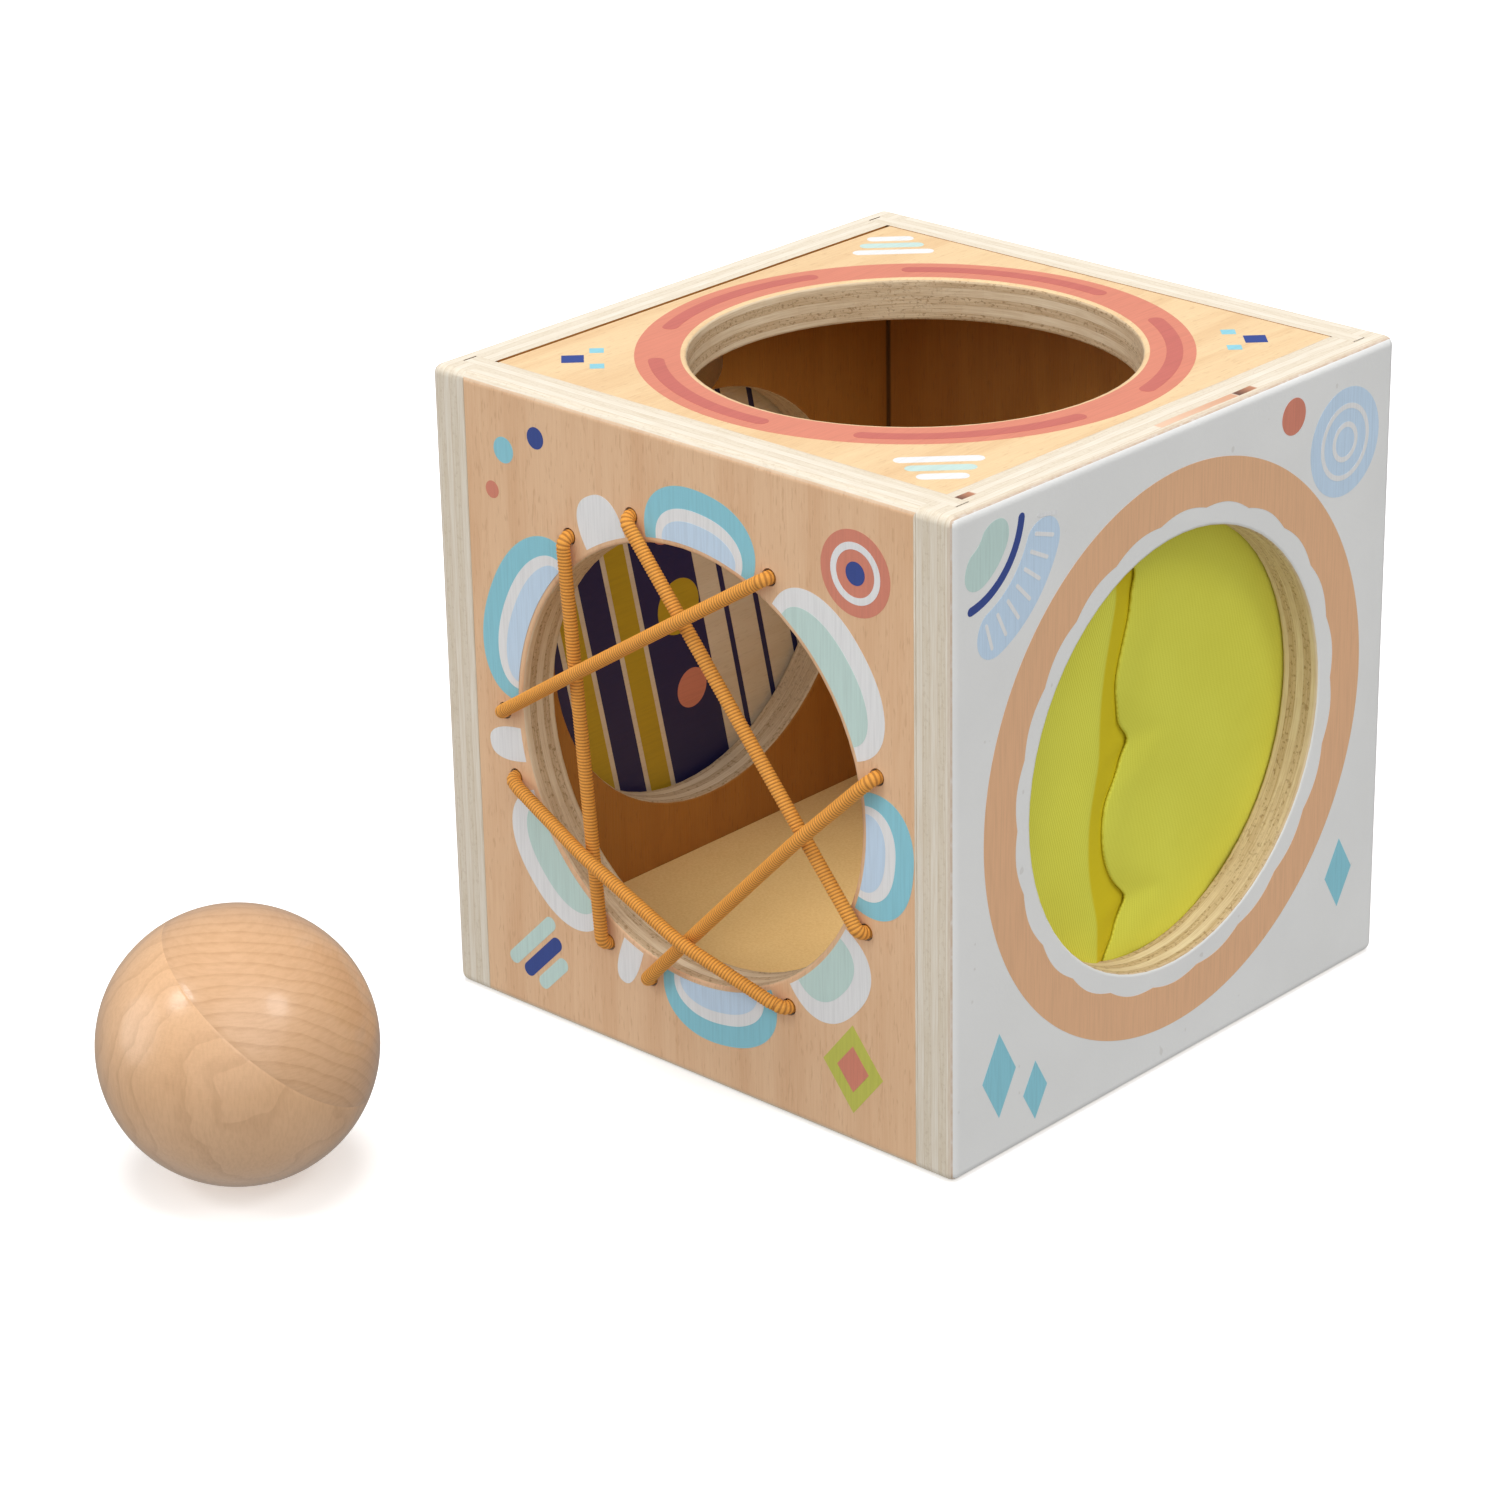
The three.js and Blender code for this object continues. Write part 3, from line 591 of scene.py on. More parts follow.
# Lace
BEND_REACH = 3 * MM  # of a run on both sides of a crossing
RUN_STATIONS = 60
CORD_SIDES = 14
KNOT_OVERLAP = 1 * MM  # of the cord's ends inside the knot
KNOT_LEAD = 4 * MM  # straight cord beside the knot
KNOT_THREAD = 1.1 * MM
KNOT_SIDES = 12
KNOT_RIB = 0.1 * MM
KNOT_TURNS = 2
KNOT_START = 0.35 * MM
KNOT_PITCH = 1.85 * MM
CORE_SPACING = 0.3 * MM
TURN_STEPS = 48
TAIL_STEPS = 6
TAIL_AHEAD = 4.5 * MM
TAIL_OUT = 2.2 * MM
TAIL_ASIDE = 3 * MM


def lace_hole(index):
    angle = math.radians(LACE_HOLE_DEGREES[index])
    return np.array([LACE_CIRCLE * math.cos(angle), MIDDLE + LACE_CIRCLE * math.sin(angle)])


def lace_runs():
    return [(lace_hole(a), lace_hole(b)) for a, b in zip(LACE_ORDER[::2], LACE_ORDER[1::2])]


def flat_cross(a, b):
    return a[0] * b[1] - a[1] * b[0]


def taut_line(points):
    """The upper hull of (distance, lift) points, as a stretched cord takes it."""
    hull = []
    for point in sorted(points):
        while len(hull) > 1:
            before, after = np.subtract(hull[-1], hull[-2]), np.subtract(point, hull[-1])
            if flat_cross(before, after) < 0:
                break
            hull.pop()
        hull.append(point)
    return np.array(hull)


def line_lift(line, distance):
    """Height of a taut line, rounded where it bends over another run."""
    reach = min(BEND_REACH, distance, line[-1, 0] - distance)
    near = distance + reach * np.linspace(-1, 1, 9)
    return np.interp(near, line[:, 0], line[:, 1]).mean()


def lace_lines(runs):
    """How far each front run stands out along its length, to pass over the runs below it."""
    lines = {}
    for index in LACE_LAYERS:
        start, end = runs[index]
        length = np.linalg.norm(end - start)
        points = [(0.0, 0.0), (length, 0.0)]
        for upper, lower in LACE_OVER:
            if upper == index:
                low_start, low_end = runs[lower]
                low_length = np.linalg.norm(low_end - low_start)
                between = low_start - start
                crossed = flat_cross(end - start, low_end - low_start)
                place = flat_cross(between, low_end - low_start) / crossed * length
                low_place = flat_cross(between, end - start) / crossed * low_length
                lift = line_lift(lines[lower], low_place) + 2 * CORD_RADIUS + CORD_CLEARANCE
                points.append((place, lift))
        lines[index] = taut_line(points)
    return lines


def quarter_bend(hole, direction, face, out, steps=8):
    """From a hole's mouth to the run that leaves it, on one side of the front wall."""
    bend = CORD_RADIUS + CORD_CLEARANCE
    points = []
    for i in range(steps + 1):
        angle = math.pi / 2 * i / steps
        x, z = hole + direction * bend * (1 - math.cos(angle))
        points.append((x, face + out * bend * math.sin(angle), z))
    return points


def unit(vector):
    return vector / np.linalg.norm(vector)


def knot_place():
    runs = lace_runs()
    first, last = runs[0][0], runs[-1][1]
    middle = (first + last) / 2
    axis = unit(last - first)
    centre = Vector((middle[0], -INNER + KNOT_RADIUS + CORD_CLEARANCE, middle[1]))
    return centre, Vector((axis[0], 0, axis[1]))


def lace_route():
    runs = lace_runs()
    lines = lace_lines(runs)
    bend = CORD_RADIUS + CORD_CLEARANCE
    centre, axis = knot_place()
    end = KNOT_LENGTH / 2 - KNOT_OVERLAP
    lead = KNOT_LENGTH / 2 + KNOT_LEAD
    points = [tuple(centre - axis * end), tuple(centre - axis * lead)]
    for i, (start, stop) in enumerate(runs):
        direction = unit(stop - start)
        arriving = unit(runs[i - 1][1] - start)
        leaving = unit(runs[(i + 1) % len(runs)][0] - stop)
        length = np.linalg.norm(stop - start)
        points += quarter_bend(start, arriving, -INNER, 1)[::-1]
        points += quarter_bend(start, direction, -HALF, -1)
        for distance in np.linspace(bend, length - bend, RUN_STATIONS)[1:-1]:
            x, z = start + direction * distance
            points.append((x, -HALF - bend - line_lift(lines[i], distance), z))
        points += quarter_bend(stop, -direction, -HALF, -1)[::-1]
        points += quarter_bend(stop, leaving, -INNER, 1)
    points += [tuple(centre + axis * lead), tuple(centre + axis * end)]
    return np.array(points)


def evenly(points, spacing):
    """The same line with stations at equal distances."""
    steps = np.linalg.norm(np.diff(points, axis=0), axis=1)
    keep = np.concatenate([[True], steps > 1e-7])
    points = points[keep]
    travelled = np.concatenate([[0], np.cumsum(np.linalg.norm(np.diff(points, axis=0), axis=1))])
    count = int(round(travelled[-1] / spacing))
    at = np.linspace(0, travelled[-1], count + 1)
    return np.stack([np.interp(at, travelled, points[:, i]) for i in range(3)], axis=1), at


def tube_mesh(points, distance, radius, sides, rib_depth, first_vertex=0):
    """Vertices, faces and (turns, millimetres along) of a closed tube with a helical rib."""
    tangents = np.gradient(points, axis=0)
    tangents /= np.linalg.norm(tangents, axis=1)[:, None]
    normal = np.cross(tangents[0], (0.3, 0.5, 0.8))  # any side of the cord to start from
    verts, places = [], []
    theta = 2 * np.pi * np.arange(sides) / sides
    for point, tangent, along_it in zip(points, tangents, distance):
        normal = normal - tangent * np.dot(normal, tangent)
        normal /= np.linalg.norm(normal)
        side = np.cross(tangent, normal)
        wave = 0.5 - 0.5 * np.cos(2 * np.pi * along_it / RIB_PITCH + theta)
        radii = radius - rib_depth * wave
        spokes = np.cos(theta)[:, None] * normal + np.sin(theta)[:, None] * side
        verts.append(point + radii[:, None] * spokes)
        places += [(j / sides, along_it / MM) for j in range(sides)]
    verts = np.concatenate(verts)
    faces = []
    for i in range(len(points) - 1):
        a = first_vertex + i * sides
        for j in range(sides):
            k = (j + 1) % sides
            faces.append((a + j, a + k, a + sides + k, a + sides + j))
    last = first_vertex + (len(points) - 1) * sides
    faces.append(tuple(range(first_vertex + sides - 1, first_vertex - 1, -1)))
    faces.append(tuple(range(last, last + sides)))
    return verts, faces, places


def add_tubes(name, tubes, material):
    verts, faces, places = [], [], []
    for points, radius, sides, rib_depth, spacing in tubes:
        stations, distance = evenly(np.array(points), spacing)
        first = sum(len(v) for v in verts)
        v, f, p = tube_mesh(stations, distance, radius, sides, rib_depth, first)
        verts.append(v)
        faces += f
        places += p
    piece = add_piece(name, np.concatenate(verts), faces, [material])
    route = piece.data.uv_layers.new(name="route")
    for face in piece.data.polygons:
        spots = [places[i] for i in face.vertices]
        turns = [turn for turn, _ in spots]
        over_seam = len(spots) == 4 and max(turns) - min(turns) > 0.5
        for loop, (turn, reach) in zip(face.loop_indices, spots):
            route.data[loop].uv = (turn + (1 if over_seam and turn < 0.5 else 0), reach)
    return piece


def add_lace():
    material = elastic()
    spacing = RIB_PITCH / 4
    cord = (lace_route(), CORD_RADIUS, CORD_SIDES, RIB_DEPTH, spacing)
    lace = add_tubes("lace_cord", [cord], material)
    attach(lace, "box")
    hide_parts("elastic_lace")

    # Each end is wound twice round the other one, and its tail stands off
    centre, axis = knot_place()
    outwards = Vector((0, 1, 0))
    sideways = axis.cross(outwards)
    coil = KNOT_RADIUS - KNOT_THREAD
    look = (KNOT_THREAD, KNOT_SIDES, KNOT_RIB)
    core = [centre - axis * KNOT_LENGTH / 2, centre + axis * KNOT_LENGTH / 2]
    tubes = [(core, *look, CORE_SPACING)]
    for way in (1, -1):
        points = []
        for i in range(TURN_STEPS + 1):
            turn = KNOT_TURNS * i / TURN_STEPS
            angle = way * 2 * math.pi * turn
            reach = way * (KNOT_START + turn * KNOT_PITCH)
            spoke = outwards * math.cos(angle) + sideways * math.sin(angle)
            points.append(centre + axis * reach + spoke * coil)
        tip = points[-1]
        for i in range(1, TAIL_STEPS + 1):
            share = i / TAIL_STEPS
            ahead = axis * way * TAIL_AHEAD * share
            out = outwards * TAIL_OUT * share * share
            points.append(tip + ahead + out + sideways * way * TAIL_ASIDE * share)
        tubes.append((points, *look, spacing))
    knot = add_tubes("lace_tied_knot", tubes, material)
    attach(knot, "box")
    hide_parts("lace_knot")


# Curtain
FLAP_RADIUS = 51.6 * MM  # of the cloth behind the opening
HEM_RADIUS = 59 * MM
HEM_HALF_HEIGHT = 32 * MM
CLOTH_MIDDLE = 64.45 * MM
CURL = 1.2 * MM
CURL_LENGTH = 13 * MM
LEFT_FOLD = -20.2 * MM  # where the left cloth turns inwards
LEFT_FOLD_WAVE = 1.2 * MM
LEFT_FOLD_BOW = 6.5 * MM
PULL = 0.5 * MM  # of the slanting waves in the stretched right cloth
TUCK_GAP = 0.18 * MM
TUCK_NOTCH = 0.5 * MM
TUCK_BEHIND = 1.4 * MM
SWELL = 2.4 * MM
SWELL_LENGTH = 9 * MM
SLIT_OFFSET = -8.9 * MM
SLIT_WAVE = 5.6 * MM
SLIT_PITCH = 37.5 * MM
SLIT_CREST = 38 * MM
SLIT_DRIFT = 4.2 * MM  # of the slit's upper part, towards the right
SLIT_FRILL = 0.3 * MM
SLIT_LAP = 11 * MM
CLAMP = 12 * MM  # width beside the fold line where the cloth stays flat
RIGHT_REACH = 86  # degrees that each cloth goes up and down round the opening
LEFT_REACH = 74
RIGHT_LEAN = -8  # of the wales, in degrees
LEFT_LEAN = 14
ROWS = 132
COLUMNS = 84


def smooth(value, low, high):
    t = np.clip((value - low) / (high - low), 0, 1)
    return t * t * (3 - 2 * t)


def slit_wave(height):
    """1 in the notches of the free edge and -1 on the round lobes between them."""
    lobe = np.sin(np.pi * (height - SLIT_CREST) / SLIT_PITCH)
    return 1.12 - 2.1 * np.sqrt(lobe**2 + 0.012)


def slit_edge(height):
    upper = smooth(height, -5 * MM, 30 * MM)
    frill = SLIT_FRILL * np.sin(height / (1.9 * MM) + 2 * np.sin(height / (7 * MM)))
    wave = SLIT_WAVE * (1 - 0.42 * upper) * slit_wave(height)
    return SLIT_OFFSET + wave + SLIT_DRIFT * upper + frill


def soft_wave(height):
    """The same wave without sharp notches."""
    lobe = np.sin(np.pi * (height - SLIT_CREST) / SLIT_PITCH)
    return 1.3 - 2.1 * np.sqrt(lobe**2 + 0.08)


def right_cloth(y, height):
    """Flat where it is clamped; creases at the notches of its free edge, swollen lobes between."""
    from_edge = y - slit_edge(height)
    near = 1 - smooth(from_edge, 0, CURL_LENGTH)
    lobes = -CURL * soft_wave(height) * near
    pull = PULL * np.sin(height / (9 * MM) + y / (13 * MM))
    pull = pull * smooth(from_edge, 2 * MM, 20 * MM)
    return CLOTH_MIDDLE + lobes + pull * smooth(CURTAIN_FOLD - y, 0, CLAMP)


def left_fold(height):
    bow = LEFT_FOLD_BOW * smooth(abs(height + 18 * MM), 4 * MM, 58 * MM)
    return LEFT_FOLD + bow + LEFT_FOLD_WAVE * soft_wave(height)


def left_cloth(y, height):
    """Swells a little, then turns inwards and passes behind the right curtain."""
    fold = left_fold(height)
    past_fold = y - fold
    strip = np.maximum(slit_edge(height) - fold, 1.5 * MM)
    before = SWELL * np.exp(-((np.minimum(past_fold, 0) / SWELL_LENGTH) ** 2))
    before = before * smooth(y + CURTAIN_FOLD, 0, CLAMP)
    wave = soft_wave(height)
    deep = CURL * wave + CLOTH + TUCK_GAP + TUCK_NOTCH * np.maximum(wave, 0)
    after = SWELL - (SWELL + deep) * np.minimum(past_fold / strip, 1)
    bend = 0.2 * MM
    rounded = (before + after - np.sqrt((before - after) ** 2 + bend**2)) / 2
    return CLOTH_MIDDLE + rounded - TUCK_BEHIND * smooth(y - slit_edge(height), 0.5 * MM, 7 * MM)


def cloth_outline(height):
    """Half the width of the cloth at a height: it runs on into a clamped hem at its side."""
    flap = np.sqrt(np.maximum(FLAP_RADIUS**2 - height**2, (0.4 * MM) ** 2))
    hem = np.sqrt(HEM_RADIUS**2 - np.minimum(abs(height), HEM_HALF_HEIGHT) ** 2)
    past_hem = smooth(abs(height), HEM_HALF_HEIGHT - 5 * MM, HEM_HALF_HEIGHT)
    return flap + (hem - flap) * (1 - past_hem)


def cloth_grid(side, reach):
    angle = np.radians(np.linspace(-reach, reach, ROWS + 1))
    height = (FLAP_RADIUS * np.sin(angle))[:, None]
    outline = cloth_outline(height)
    share = np.linspace(0, 1, COLUMNS + 1)[None, :]
    if side > 0:
        low, high = np.maximum(slit_edge(height), -outline), outline
        y = low + (high - low) * share
        x = right_cloth(y, height)
    else:
        low, high = -outline, np.minimum(slit_edge(height) + SLIT_LAP, outline)
        y = low + (high - low) * share
        x = left_cloth(y, height)
    return np.stack([x, y, MIDDLE + np.broadcast_to(height, y.shape)], axis=2)


def add_cloth(name, grid, material):
    """A closed sheet of cloth around the grid of its middle surface."""
    rows, columns = grid.shape[:2]
    normal = np.cross(np.gradient(grid, axis=1), np.gradient(grid, axis=0))
    normal /= np.linalg.norm(normal, axis=2)[:, :, None]
    sides = [grid + side * CLOTH / 2 * normal for side in (1, -1)]
    verts = np.concatenate([side.reshape(-1, 3) for side in sides])
    layer = rows * columns
    faces = []
    for i in range(rows - 1):
        for j in range(columns - 1):
            a = i * columns + j
            b = a + columns
            faces.append((a, a + 1, b + 1, b))
            faces.append((layer + a, layer + b, layer + b + 1, layer + a + 1))
    around = list(range(columns))
    around += [i * columns + columns - 1 for i in range(1, rows)]
    around += [(rows - 1) * columns + j for j in range(columns - 2, -1, -1)]
    around += [i * columns for i in range(rows - 2, 0, -1)]
    for a, b in zip(around, around[1:] + around[:1]):
        faces.append((a, layer + a, layer + b, b))
    return add_piece(name, verts, faces, [material])


def add_curtains():
    knitted = knit("right_knit", RIGHT_LEAN)
    right = add_cloth("right_curtain_cloth", cloth_grid(1, RIGHT_REACH), knitted)
    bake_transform(right)
    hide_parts("right_curtain", "right_curtain_hem")
    knitted = knit("left_knit", LEFT_LEAN, shade_past_fold=True)
    left = add_cloth("left_curtain_cloth", cloth_grid(-1, LEFT_REACH), knitted)
    # Distance past the fold, which the left knit uses for its painted shade
    spots = np.array([v.co for v in left.data.vertices])
    past_fold = (spots[:, Y] - left_fold(spots[:, Z] - MIDDLE)) / MM
    fold = left.data.uv_layers.new(name="fold")
    for loop in left.data.loops:
        fold.data[loop.index].uv = (past_fold[loop.vertex_index], 0)
    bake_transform(left)
    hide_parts("left_curtain", "left_curtain_hem")


# Ball

def add_ball():
    """Rows of the sphere lie round the glue's normal, so that a fine groove follows the glue."""
    turn = GLUE_NORMAL.to_track_quat("Z", "Y")
    rows, columns = 96, 128
    glue = math.asin(GLUE_OFFSET)
    verts, faces = [], []
    tilt = np.linspace(-math.pi / 2, math.pi / 2, rows + 1)[1:-1]
    nearest = int(np.argmin(abs(tilt - glue)))
    fine = glue + np.array([-GLUE_HALF_WIDTH, 0.0, GLUE_HALF_WIDTH])
    tilt = np.concatenate([tilt[:nearest], fine, tilt[nearest + 1:]])
    for angle in tilt:
        radius = BALL_RADIUS - (GLUE_GROOVE if abs(angle - glue) < 1e-6 else 0)
        wide = math.cos(angle)
        for j in range(columns):
            round_it = 2 * math.pi * j / columns
            spot = Vector((wide * math.cos(round_it), wide * math.sin(round_it), math.sin(angle)))
            verts.append(BALL_MIDDLE + turn @ spot * radius)
    for i in range(len(tilt) - 1):
        for j in range(columns):
            a, b = i * columns, (i + 1) * columns
            k = (j + 1) % columns
            faces.append((a + j, a + k, b + k, b + j))
    last = (len(tilt) - 1) * columns
    for pole, ring in ((-1, range(columns)), (1, range(last, last + columns))):
        verts.append(BALL_MIDDLE + turn @ Vector((0, 0, pole * BALL_RADIUS)))
        ring = list(ring)
        for a, b in zip(ring, ring[1:] + ring[:1]):
            faces.append((a, b, len(verts) - 1) if pole > 0 else (b, a, len(verts) - 1))
    ball = add_piece("maple_ball", verts, faces, [maple()])
    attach(ball, "ball")
    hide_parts("ball")


# Prints
SKY = (0.29, 0.65, 0.76)
PALE_BLUE = (0.62, 0.78, 0.95)
WHITE = (0.88, 0.88, 0.88)
MINT = (0.6, 0.78, 0.73)
CORAL = (0.74, 0.26, 0.175)
DEEP_CORAL = (0.6, 0.165, 0.135)
PEACH = (0.86, 0.5, 0.28)
NAVY = (0.035, 0.07, 0.3)
LIME = (0.6, 0.6, 0.1)
DARK_NAVY = (0.02, 0.018, 0.09)
OCHRE = (0.58, 0.38, 0.02)
COAT_BASE = 0.05  # where a coat starts, in coats above the one below it
BLUNT = 0.002  # keeps the ends of a strip from closing
MID = (0, 0)


def polar(radius, angle, centre=MID):
    return (centre[0] + radius * math.cos(angle), centre[1] + radius * math.sin(angle))


def swing(x, y, degrees, centre):
    """A point turned about the middle and then moved to centre."""
    angle = math.radians(degrees)
    return (
        centre[0] + x * math.cos(angle) - y * math.sin(angle),
        centre[1] + x * math.sin(angle) + y * math.cos(angle),
    )


def circle(centre, radius, count):
    return [polar(radius, 2 * math.pi * i / count, centre) for i in range(count)]


class Print:
    """Inked shapes on one face, each a thin closed coat.

    u and v are millimetres from the face's middle, and level counts the coats below.
    """

    def __init__(self, name, origin, u, v, grain_axis):
        self.name = name
        self.origin = Vector(origin)
        self.u = Vector(u)
        self.v = Vector(v)
        self.out = self.u.cross(self.v)
        self.grain_axis = grain_axis
        self.verts, self.faces, self.face_inks, self.inks = [], [], [], []

    def put(self, points, coat):
        first = len(self.verts)
        for u, v in points:
            spot = self.origin + (self.u * u + self.v * v) * MM
            self.verts.append(spot + self.out * INK * coat)
        return list(range(first, len(self.verts)))

    def fill(self, faces, colour):
        if colour not in self.inks:
            self.inks.append(colour)
        self.faces += faces
        self.face_inks += [self.inks.index(colour)] * len(faces)

    def polygon(self, points, colour, level=0):
        """points run anticlockwise"""
        low, high = self.put(points, level + COAT_BASE), self.put(points, level + 1)
        after = list(range(1, len(points))) + [0]
        sides = [(low[i], low[j], high[j], high[i]) for i, j in enumerate(after)]
        self.fill([tuple(high), tuple(reversed(low)), *sides], colour)

    def band(self, inner, outer, colour, level=0, closed=False):
        """A strip between two rows of points; inner lies to the left of outer along the strip."""
        low_in, low_out = [self.put(points, level + COAT_BASE) for points in (inner, outer)]
        high_in, high_out = [self.put(points, level + 1) for points in (inner, outer)]
        count = len(inner)
        faces = []
        for i in range(count if closed else count - 1):
            j = (i + 1) % count
            faces.append((high_out[i], high_out[j], high_in[j], high_in[i]))
            faces.append((low_in[i], low_in[j], low_out[j], low_out[i]))
            faces.append((high_in[i], high_in[j], low_in[j], low_in[i]))
            faces.append((low_out[i], low_out[j], high_out[j], high_out[i]))
        if not closed:
            faces.append((low_in[0], low_out[0], high_out[0], high_in[0]))
            faces.append((high_in[-1], high_out[-1], low_out[-1], low_in[-1]))
        self.fill(faces, colour)

    def ring(self, centre, low, high, colour, level=0, count=128):
        rows = [circle(centre, radius, count) for radius in (low, high)]
        self.band(*rows, colour, level, closed=True)

    def disc(self, centre, radius, colour, level=0, count=48):
        self.polygon(circle(centre, radius, count), colour, level)

    def arc(self, centre, low, high, start, end, colour, level=0):
        """A bent bar with round ends, from start to end degrees, anticlockwise."""
        middle, half = (low + high) / 2, (high - low) / 2
        length = math.radians(end - start) * middle
        cap = min(half, length / 2)
        count = max(24, int(length))
        inner, outer = [], []
        for i in range(count + 1):
            share = 0.5 - 0.5 * math.cos(math.pi * i / count)
            to_end = min(share, 1 - share) * length
            width = half * math.sqrt(max(BLUNT, 1 - max(0.0, 1 - to_end / cap) ** 2))
            angle = math.radians(start) + math.radians(end - start) * share
            for row, radius in ((inner, middle - width), (outer, middle + width)):
                row.append(polar(radius, angle, centre))
        self.band(inner, outer, colour, level)

    def lobe(self, base, height, start, end, colour, level=0, steps=48):
        """A round bulge outside a circle about the middle, from start to end degrees."""
        inner, outer = [], []
        for i in range(steps + 1):
            share = 0.5 - 0.5 * math.cos(math.pi * i / steps)
            bulge = height * max(BLUNT, 1 - abs(2 * share - 1) ** 2.6) ** 0.45
            angle = math.radians(start + (end - start) * share)
            for row, radius in ((inner, base), (outer, base + bulge)):
                row.append(polar(radius, angle))
        self.band(inner, outer, colour, level)

    def diamond(self, centre, width, height, colour, level=0):
        x, y = centre
        w, h = width / 2, height / 2
        self.polygon([(x + w, y), (x, y + h), (x - w, y), (x, y - h)], colour, level)

    def bar(self, centre, length, width, degrees, colour, level=0):
        """A straight bar with round ends."""
        points = []
        for end, turn in ((1, -90), (-1, 90)):
            for i in range(13):
                a = math.radians(turn + 15 * i)
                along_it = end * (length - width) / 2 + width / 2 * math.cos(a)
                across = width / 2 * math.sin(a)
                points.append(swing(along_it, across, degrees, centre))
        self.polygon(points, colour, level)

    def stripe(self, radius, low, high, degrees, colour, level=0):
        """A straight stripe across a disc, between two distances from its middle."""
        offsets = [low + (high - low) * i / 12 for i in range(13)]
        rows = []
        for way in (1, -1):
            reaches = [way * math.sqrt(radius**2 - offset**2) for offset in offsets]
            rows.append([swing(*spot, degrees, MID) for spot in zip(offsets, reaches)])
        self.band(*rows, colour, level)

    def build(self, body):
        materials = []
        for i, colour in enumerate(self.inks):
            materials.append(ink(f"{self.name}_ink_{i}", colour, self.grain_axis))
        piece = add_piece(self.name, self.verts, self.faces, materials, smooth=False)
        piece.data.polygons.foreach_set("material_index", self.face_inks)
        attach(piece, body)
        return piece


PRINT_INSIDE = 51.4  # where prints round an opening begin
BLUE_LOBES = (3, 5, 7, 9)
LOBE_GAP = 3.6  # degrees from a lace hole
BROAD_LOBE = 20  # degrees from which a lobe has a second one inside
SCALLOPS = 22
STRIPED_RADIUS = 57
STRIPE_LEAN = 12


def add_front_print():
    front = Print("front_print", (0, -HALF, MIDDLE), (1, 0, 0), (0, 0, 1), Z)
    holes = sorted(LACE_HOLE_DEGREES)
    for i, start in enumerate(holes):
        end = holes[i + 1] if i + 1 < len(holes) else holes[0] + 360
        low, high = start + LOBE_GAP, end - LOBE_GAP
        blue = i in BLUE_LOBES
        broad = high - low > BROAD_LOBE
        height = 13.2 if broad else 10.5
        front.lobe(PRINT_INSIDE, height, low, high, SKY if blue else WHITE)
        if broad:
            front.lobe(PRINT_INSIDE, 8.2, low + 3.5, high - 3.5, WHITE if blue else MINT, 1)
        if blue:
            front.lobe(PRINT_INSIDE, 5.4, low + 5.5, high - 5.5, PALE_BLUE, 2)
    target, gem = (49, 57), (47, -57)
    front.disc(target, 9.5, CORAL)
    front.ring(target, 5.2, 6.8, WHITE, 1, 48)
    front.disc(target, 2.6, NAVY, 1)
    for i, colour in enumerate((MINT, NAVY, MINT)):
        front.bar((-50 + 3.2 * i, -57 - 3.2 * i), 20 - 4 * i, 3.4, 45, colour)
    front.diamond(gem, 17, 21, LIME)
    front.diamond(gem, 9, 11, CORAL, 1)
    for i, place in enumerate(((-53, 60), (-43, 65), (-57, 50))):
        front.disc(place, 3 - 0.5 * i, (SKY, NAVY, CORAL)[i])
    front.build("box")


def add_top_print():
    top = Print("top_print", (0, 0, 2 * HALF), (1, 0, 0), (0, 1, 0), Y)
    top.ring(MID, PRINT_INSIDE, 61.5, CORAL)
    for i in range(5):
        top.arc(MID, 55, 58.6, 72 * i + 10, 72 * i + 62, DEEP_CORAL, 1)
    for sign in (1, -1):
        for i, colour in enumerate((WHITE, MINT, WHITE)):
            away = sign * (50 + 3.6 * i)
            top.bar((away, -away), 19 - 4 * i, 3.4, 45, colour)
        top.diamond((sign * 53, sign * 53), 7, 7, NAVY)
        top.diamond((sign * 53, sign * 45.5), 4.5, 4.5, SKY)
        top.diamond((sign * 45.5, sign * 53), 4.5, 4.5, SKY)
    top.build("box")


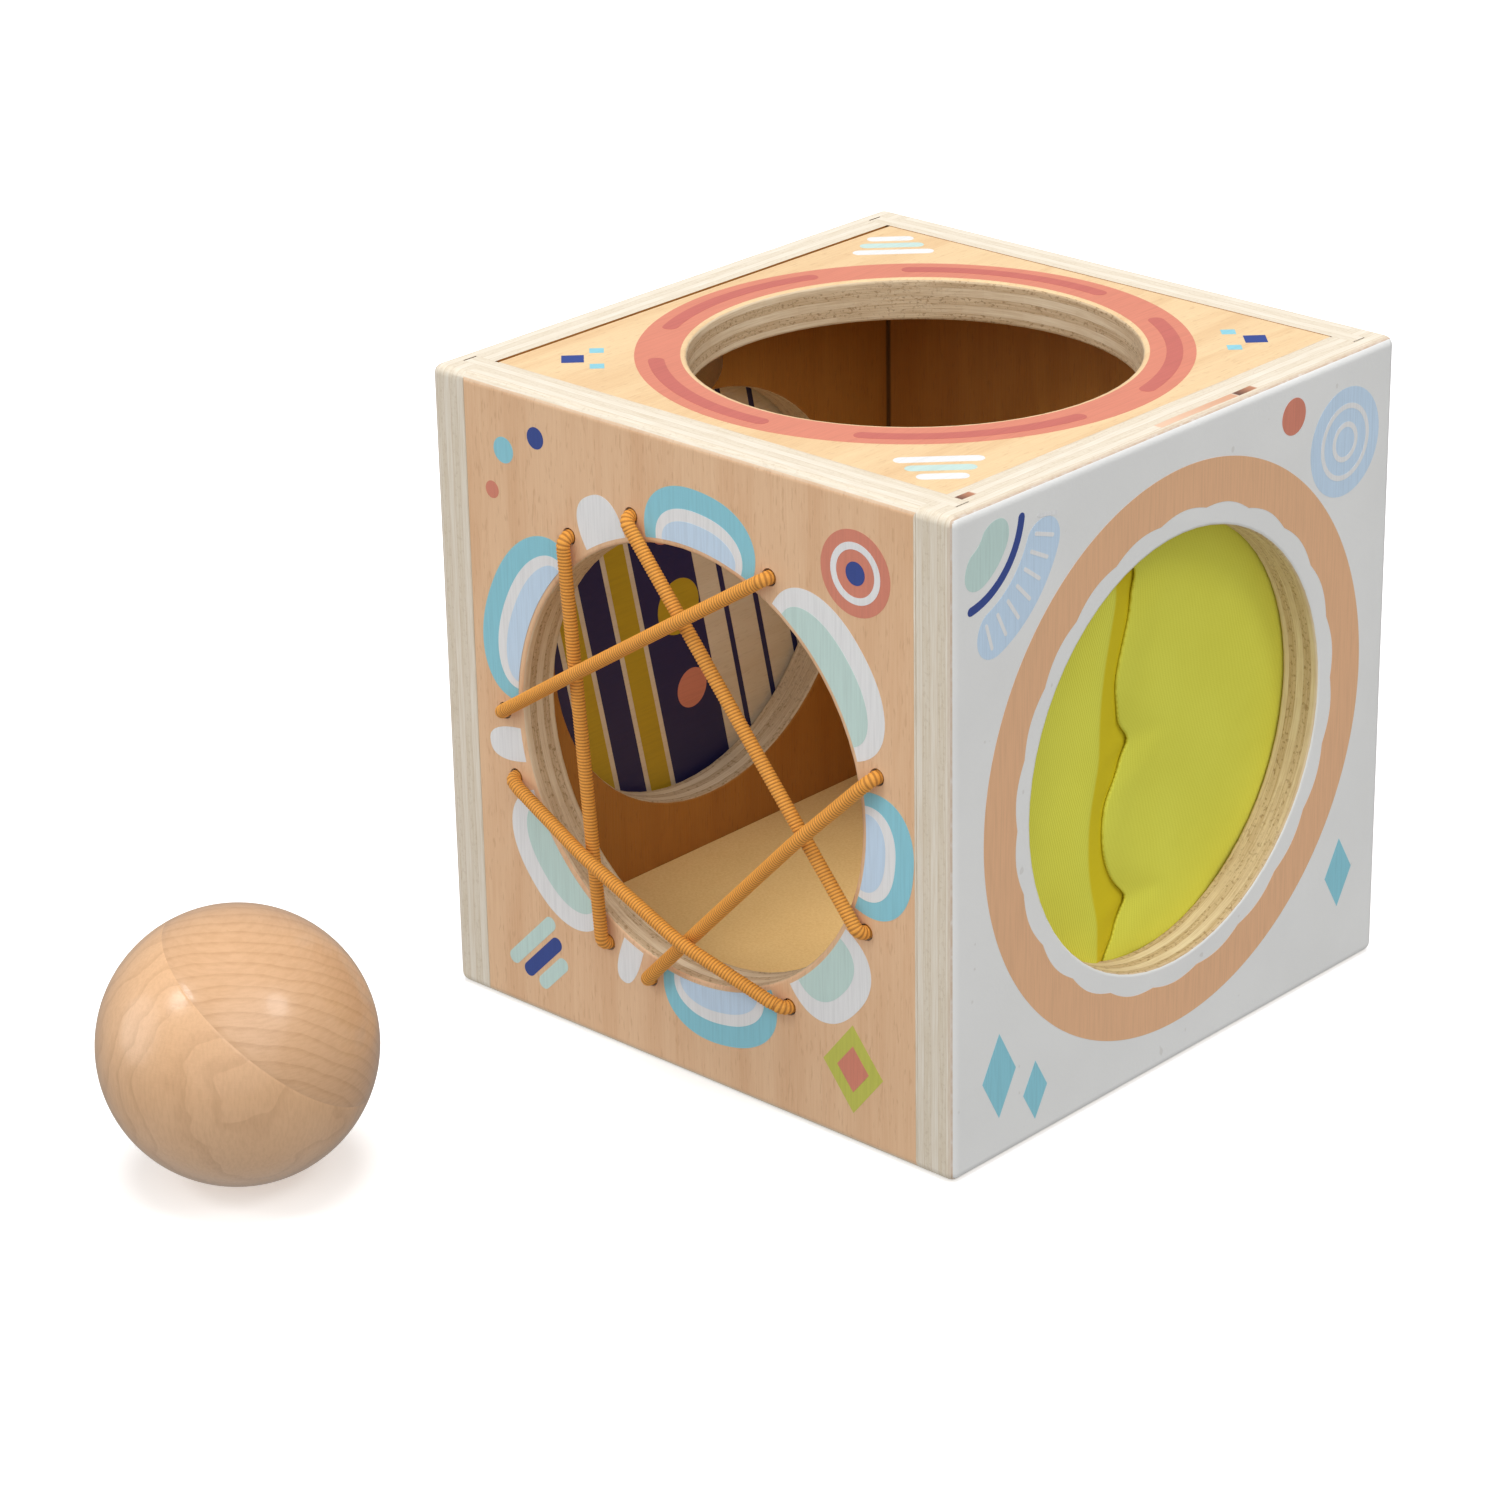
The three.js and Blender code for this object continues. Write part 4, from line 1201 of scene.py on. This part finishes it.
def add_right_print():
    right = Print("right_print", (HALF, 0, MIDDLE), (0, 1, 0), (0, 0, 1), Z)
    count = 12 * SCALLOPS
    angles = [2 * math.pi * i / count for i in range(count)]
    radii = [54.4 + 0.9 * abs(math.sin(SCALLOPS / 2 * a)) for a in angles]
    scallops = [polar(r, a) for r, a in zip(radii, angles)]
    right.band(scallops, circle(MID, 65.2, count), PEACH, closed=True)
    corner = (-72, 72)
    right.arc(corner, 7, 15.5, -86, -4, MINT)
    right.arc(corner, 17.6, 19.6, -85, -5, NAVY)
    right.arc(corner, 21.8, 32.5, -80, -10, PALE_BLUE)
    for degrees in range(-72, -8, 9):
        right.bar(polar(27, math.radians(degrees), corner), 6.5, 0.9, degrees, WHITE, 1)
    target = (57, 55)
    right.disc(target, 12.5, PALE_BLUE)
    right.ring(target, 7.6, 8.8, WHITE, 1, 64)
    right.ring(target, 3.4, 4.6, WHITE, 1, 48)
    right.disc((38, 66), 4.2, CORAL)
    diamonds = (((-60, -55), 11, 20), ((-48, -63), 8, 14), ((60, -50), 10, 17))
    for place, width, height in diamonds:
        right.diamond(place, width, height, SKY)
    right.build("box")


def add_door_print():
    door = Print("door_print", (DOOR_INSIDE, 0, MIDDLE), (0, 1, 0), (0, 0, 1), Y)
    edges = ((-46, -38), (-36.5, -30), (-28.5, -20.5), (-19, -12.5), (-11, 8))
    for i, (low, high) in enumerate(edges):
        door.stripe(STRIPED_RADIUS, low, high, STRIPE_LEAN, (DARK_NAVY, OCHRE)[i % 2])
    dots = ((8.5, MINT), (5, CORAL), (7, OCHRE), (5, CORAL))
    for i, (radius, colour) in enumerate(dots):
        door.disc((-6 + 4 * i, 38 - 22 * i), radius, colour, 1)
    for low in (15, 25, 35):
        door.stripe(STRIPED_RADIUS, low, low + 1.6, STRIPE_LEAN, DARK_NAVY)
    door.build("door")


# Studio floor
FLOOR_HALF = 6.0
FLOOR_HEIGHT = -0.1 * MM


def add_floor():
    corners = ((-1, -1), (1, -1), (1, 1), (-1, 1))
    verts = [(x * FLOOR_HALF, y * FLOOR_HALF, FLOOR_HEIGHT) for x, y in corners]
    shader = Shader("studio_floor", Roughness=0.9, Specular_IOR_Level=0.1, Emission_Strength=0.4)
    cloud = shader.noise(0.004)
    colour = shader.mix(cloud, (0.92, 0.92, 0.92), (0.9, 0.9, 0.9))
    shader.set(Base_Color=colour, Emission_Color=colour)
    floor = add_piece("studio_floor", verts, [(0, 1, 2, 3)], [shader.material], smooth=False)
    floor.visible_diffuse = False  # a light of its own stands for the light that it throws back
    floor.visible_glossy = False
    floor.visible_shadow = False


add_camera()
add_light()
add_floor()
dress_box()
add_lace()
add_curtains()
add_ball()
add_front_print()
add_top_print()
add_right_print()
add_door_print()
